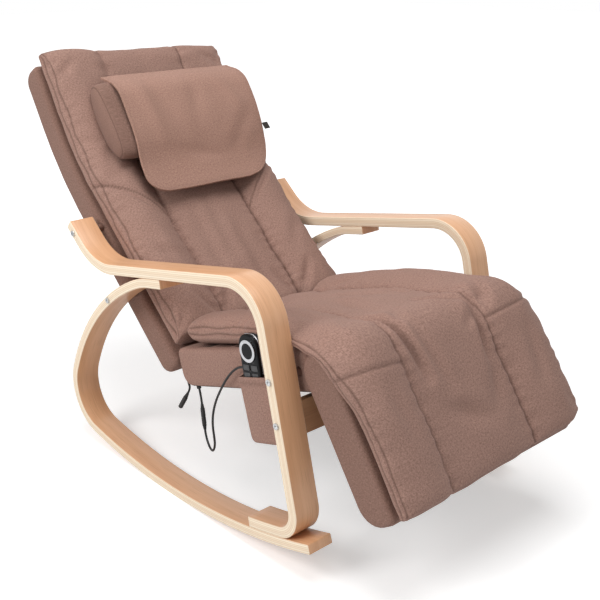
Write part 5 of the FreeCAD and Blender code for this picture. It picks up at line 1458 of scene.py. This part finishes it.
def onProfile(points, at):
    for (s0, h0), (s1, h1) in zip(points, points[1:]):
        if s1 <= at <= s0:
            return h0 + (h1 - h0) * (at - s0) / (s1 - s0)
    return points[0][1] if at > points[0][0] else points[-1][1]


def smoothProfile(points, at):
    return sum(onProfile(points, at + step) for step in (-0.012, -0.006, 0, 0.006, 0.012)) / 5


def cornerCut(above, radius):
    # how far a rounded lower corner draws the side edge in, at a height above the bottom edge
    if above >= radius:
        return 0.0
    return radius * (1 - math.sqrt(max(1 - (1 - above / radius) ** 2, 0)))


def buildFlap():
    f = flapSettings
    freshStart()
    bpy.ops.mesh.primitive_grid_add(x_subdivisions=60, y_subdivisions=56, size=2)
    obj = namedPiece("pillowFlap")
    mesh = obj.data
    flat = []
    edge = []
    for vertex in mesh.vertices:
        across = 0.5 * (vertex.co.x + 1)
        down = 0.5 * (1 - vertex.co.y)
        run = f["top"] - (f["top"] - f["bottom"]) * down
        above = run - f["bottom"]
        left = f["left"][0] + (f["left"][1] - f["left"][0]) * down + cornerCut(above, f["roundLeft"])
        right = f["right"][0] + (f["right"][1] - f["right"][0]) * down - cornerCut(above, f["roundRight"])
        x = left + (right - left) * across
        flat.append((x, run))
        edge.append(min(x - left, right - x, above))
    mapFaces(mesh, "weaveMap", lambda face, index: flat[index])
    seam = newPaintedShade(mesh)
    for vertex, (x, run), near in zip(mesh.vertices, flat, edge):
        lift = smoothProfile(f["profile"], run) + foldDepth(f["folds"], x, run)
        lift += unevenness(x, run, 8.6, 0.10, 0.0035)
        # the near side stands off a little, the far side lies closer
        lift += 0.004 * smoothStep(-0.09, -0.15, x) * smoothStep(0.60, 0.45, run)
        lift -= 0.006 * smoothStep(0.15, 0.24, x) * smoothStep(0.70, 0.55, run)
        lift -= 0.0012 * bell(near - f["hem"], 0.003)
        # painted shade along the stitched hem
        seam[vertex.index].value = 0.45 * bell(near - f["hem"], 0.0022)
        vertex.co = pathPoint(backPath, x, run, f["lift"] + lift)
    mesh.update()
    addWall(obj, f["thickness"], 1, even=True)
    addBevel(obj, f["edgeRound"], 2, angle=50)
    smoothByAngle(obj, 50)
    return obj


pillowFlap = buildFlap()
# the flap wears a lighter copy of the pad cloth: painted light
dress(pillowFlap, "litFlapCloth")
handOver(pillowFlap, "upholstery", "chair", "pillow_flap")

# blank woven tab sewn into the flap's far edge
tabSettings = {"x": 0.2250, "run": 0.498, "lift": 0.2045, "width": 0.016, "length": 0.024, "curl": 0.0016,
               "thickness": 0.0018}
freshStart()
bpy.ops.mesh.primitive_grid_add(x_subdivisions=6, y_subdivisions=10, size=1)
blankTab = namedPiece("blankTab")
for vertex in blankTab.data.vertices:
    across = vertex.co.x + 0.5
    vertex.co = pathPoint(backPath, tabSettings["x"] + tabSettings["width"] * across,
                          tabSettings["run"] + tabSettings["length"] * vertex.co.y,
                          tabSettings["lift"] + tabSettings["curl"] * math.sin(2.4 * across))
addWall(blankTab, tabSettings["thickness"], 0)
smoothByAngle(blankTab, 40)
dress(blankTab, "tabCloth")
handOver(blankTab, "upholstery", "chair", "blank_tab")
print("pillow, flap and tab ready")

# side pocket: an open cloth bag, its inner panel a little taller, hem at the mouth
pocketSettings = {
    "outer": -0.288,
    "inner": -0.252,
    "front": -0.110,
    "deep": -0.136,
    "cornerRound": 0.012,
    "edgeRound": 0.005,
    "rows": 16,
    "wall": 0.002,
    "rise": 0.012,
    "hem": 0.011,
    "bulge": 0.0035,
}


def buildPocket():
    p = pocketSettings
    front, deep = p["front"], p["deep"]
    obj = newBlock("handsetPocket", (p["outer"], front, deep), (p["inner"], 0, 0))
    selectWhere(obj, "EDGE", lambda edge: alongAxis(edge, 0) and all(
        v.co.z < deep + touching for v in edge.verts))  # the two lower corners
    bpy.ops.mesh.bevel(offset=p["cornerRound"], segments=5)
    addBevel(obj, p["edgeRound"], 3, angle=60)
    startEdit(obj)
    for row in range(1, p["rows"]):
        bisectAll((0, 0, deep * row / p["rows"]), (0, 0, 1))
        bisectAll((0, front * row / p["rows"], 0), (0, 1, 0))
    selectWhere(obj, "FACE", lambda face: face.calc_center_median().z > -0.006)
    bpy.ops.mesh.delete(type="FACE")
    freshStart()
    mesh = obj.data

    def weavePlace(face, index):
        x, run, lift = mesh.vertices[index].co
        return run + 0.6 * x, lift + 4

    mapFaces(mesh, "weaveMap", weavePlace)
    seam = newPaintedShade(mesh)
    top = max(vertex.co.z for vertex in mesh.vertices)
    for vertex in mesh.vertices:
        x, run, lift = vertex.co
        lift -= top * (1 + lift / -deep)  # the cut mouth goes back up to the mouth line
        belly = math.sin(math.pi * run / front) * math.sin(math.pi * min(lift / deep, 1))
        hem = bell(lift + p["hem"], 0.004)
        # painted shade along the hem
        seam[vertex.index].value = 0.4 * bell(lift + p["hem"], 0.003)
        if x < 0.5 * (p["outer"] + p["inner"]):
            x -= p["bulge"] * belly - 0.0008 * hem - unevenness(run, lift, 6.1, 0.04, 0.0006)
        else:
            lift += p["rise"] * smoothStep(-0.03, 0.0, lift) * smoothStep(-0.262, -0.253, x)
        vertex.co = (x, *sidePoint(chairPlan["mouth"], chairPlan["seatSlope"], run, lift))
    mesh.update()
    addWall(obj, p["wall"], -1)
    smoothByAngle(obj, 50)
    return obj


handsetPocket = buildPocket()
dress(handsetPocket, "padCloth")
handOver(handsetPocket, "upholstery", "chair", "handset_pocket")
print("pocket ready")


# handset shells: a slim slab with a round top, and a bright trim line between face and back
handsetSettings = {
    "halfWidth": 0.028,
    "top": 0.033,
    "bottom": -0.142,
    "topRound": 0.0245,
    "bottomRound": 0.012,
    "rim": 0.0032,
    "trimOut": 0.0006,
    "trimHalf": 0.0011,
    "trimRim": 0.0005,
    "keyPlay": 0.0003,
    "keyTravel": 0.0014,
    "pressed": ["power_button", "key_upper_rear", "key_upper_front", "key_lower_rear", "key_lower_front"],
}


def handsetSlab(name, lowX, highX, grow, rim):
    p = handsetSettings
    halfWidth, top, bottom = p["halfWidth"] + grow, p["top"] + grow, p["bottom"] - grow
    obj = newBlock(name, (lowX, -halfWidth, bottom), (highX, halfWidth, top))
    for level, radius in ((top, p["topRound"]), (bottom, p["bottomRound"])):
        selectWhere(obj, "EDGE", lambda edge: alongAxis(edge, 0) and all(
            abs(v.co.z - level) < touching for v in edge.verts))
        bpy.ops.mesh.bevel(offset=radius + grow, segments=10)
    addBevel(obj, rim, 4, angle=60)
    for vertex in obj.data.vertices:
        x, across, up = vertex.co
        vertex.co = (x, *sidePoint(chairPlan["handsetCentre"], chairPlan["handsetSlope"], across, up))
    obj.data.update()
    smoothByAngle(obj, 35)
    return obj


def cutKeyHole(face, node):
    # a copy of the key, a little larger and deeper by its travel, is cut from the face
    p = handsetSettings
    hole = bpy.data.objects.new("keyHole", cadNodes[node].data.copy())
    bpy.context.collection.objects.link(hole)
    places = [cadNodes[node].matrix_world @ vertex.co for vertex in hole.data.vertices]
    middle = sum(places, Vector()) / len(places)
    for vertex, place in zip(hole.data.vertices, places):
        out = place - middle
        sideways = Vector((0, out.y, out.z)).normalized() * p["keyPlay"]
        vertex.co = place + sideways
        vertex.co.x += p["keyTravel"] if out.x > 0 else -p["keyTravel"]
    cut = face.modifiers.new("hole", "BOOLEAN")
    cut.operation = "DIFFERENCE"
    cut.solver = "EXACT"
    cut.object = hole
    applyModifiers(face)
    bpy.data.objects.remove(hole)


bpy.context.view_layer.update()
for name, node in (("handsetFace", "handset_face"), ("handsetBack", "handset_back")):
    low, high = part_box(node)
    shell = handsetSlab(name, low[0], high[0], 0.0, handsetSettings["rim"])
    if name == "handsetFace":
        for pressed in handsetSettings["pressed"]:
            cutKeyHole(shell, pressed)
        smoothByAngle(shell, 35)
    dress(shell, "glossBlack")
    handOver(shell, "gloss_black", "handset", node)
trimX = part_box("handset_face")[1][0]
trimHalf = handsetSettings["trimHalf"]
handsetTrim = handsetSlab("handsetTrim", trimX - trimHalf, trimX + trimHalf, handsetSettings["trimOut"],
                          handsetSettings["trimRim"])
dress(handsetTrim, "brightRing")
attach(handsetTrim, "handset")
print("handset ready")

# remaining CAD nodes keep their shape and get finishes
cadFinishes = {
    "railWood": ["back_frame", "seat_frame", "leg_frame"],
    "shadedWood": ["front_stretcher"],
    "spacerPlastic": ["bolt_spacers"],
    "strapCloth": ["seat_webbing"],
    "zincSteel": ["frame_bolts", "frame_nuts", "guide_rods", "rod_brackets", "lead_screw", "worm",
                  "seat_hinge_plates", "leg_hinge_plates", "hinge_pins", "eccentric_weight", "head_arm_right",
                  "head_arm_left", "carriage_plate"],
    "castAlloy": ["gear_housing"],
    "brass": ["carriage_nut"],
    "motorPaint": ["travel_motor", "kneading_motor", "vibration_motor"],
    "darkPlastic": ["control_box", "cord_glands", "handset_gland"],
    "gearPlastic": ["kneading_gear_right", "kneading_gear_left"],
    "headRubber": ["massage_heads_right", "massage_heads_left"],
    "glossBlack": ["power_button"],
    "brightRing": ["handset_ring"],
    "keyPlastic": ["key_upper_rear", "key_upper_front", "key_lower_rear", "key_lower_front"],
}
for finish, names in cadFinishes.items():
    for name in names:
        dress(cadNodes[name], finish)
print("carried nodes dressed")


bpy.ops.object.select_all(action="DESELECT")
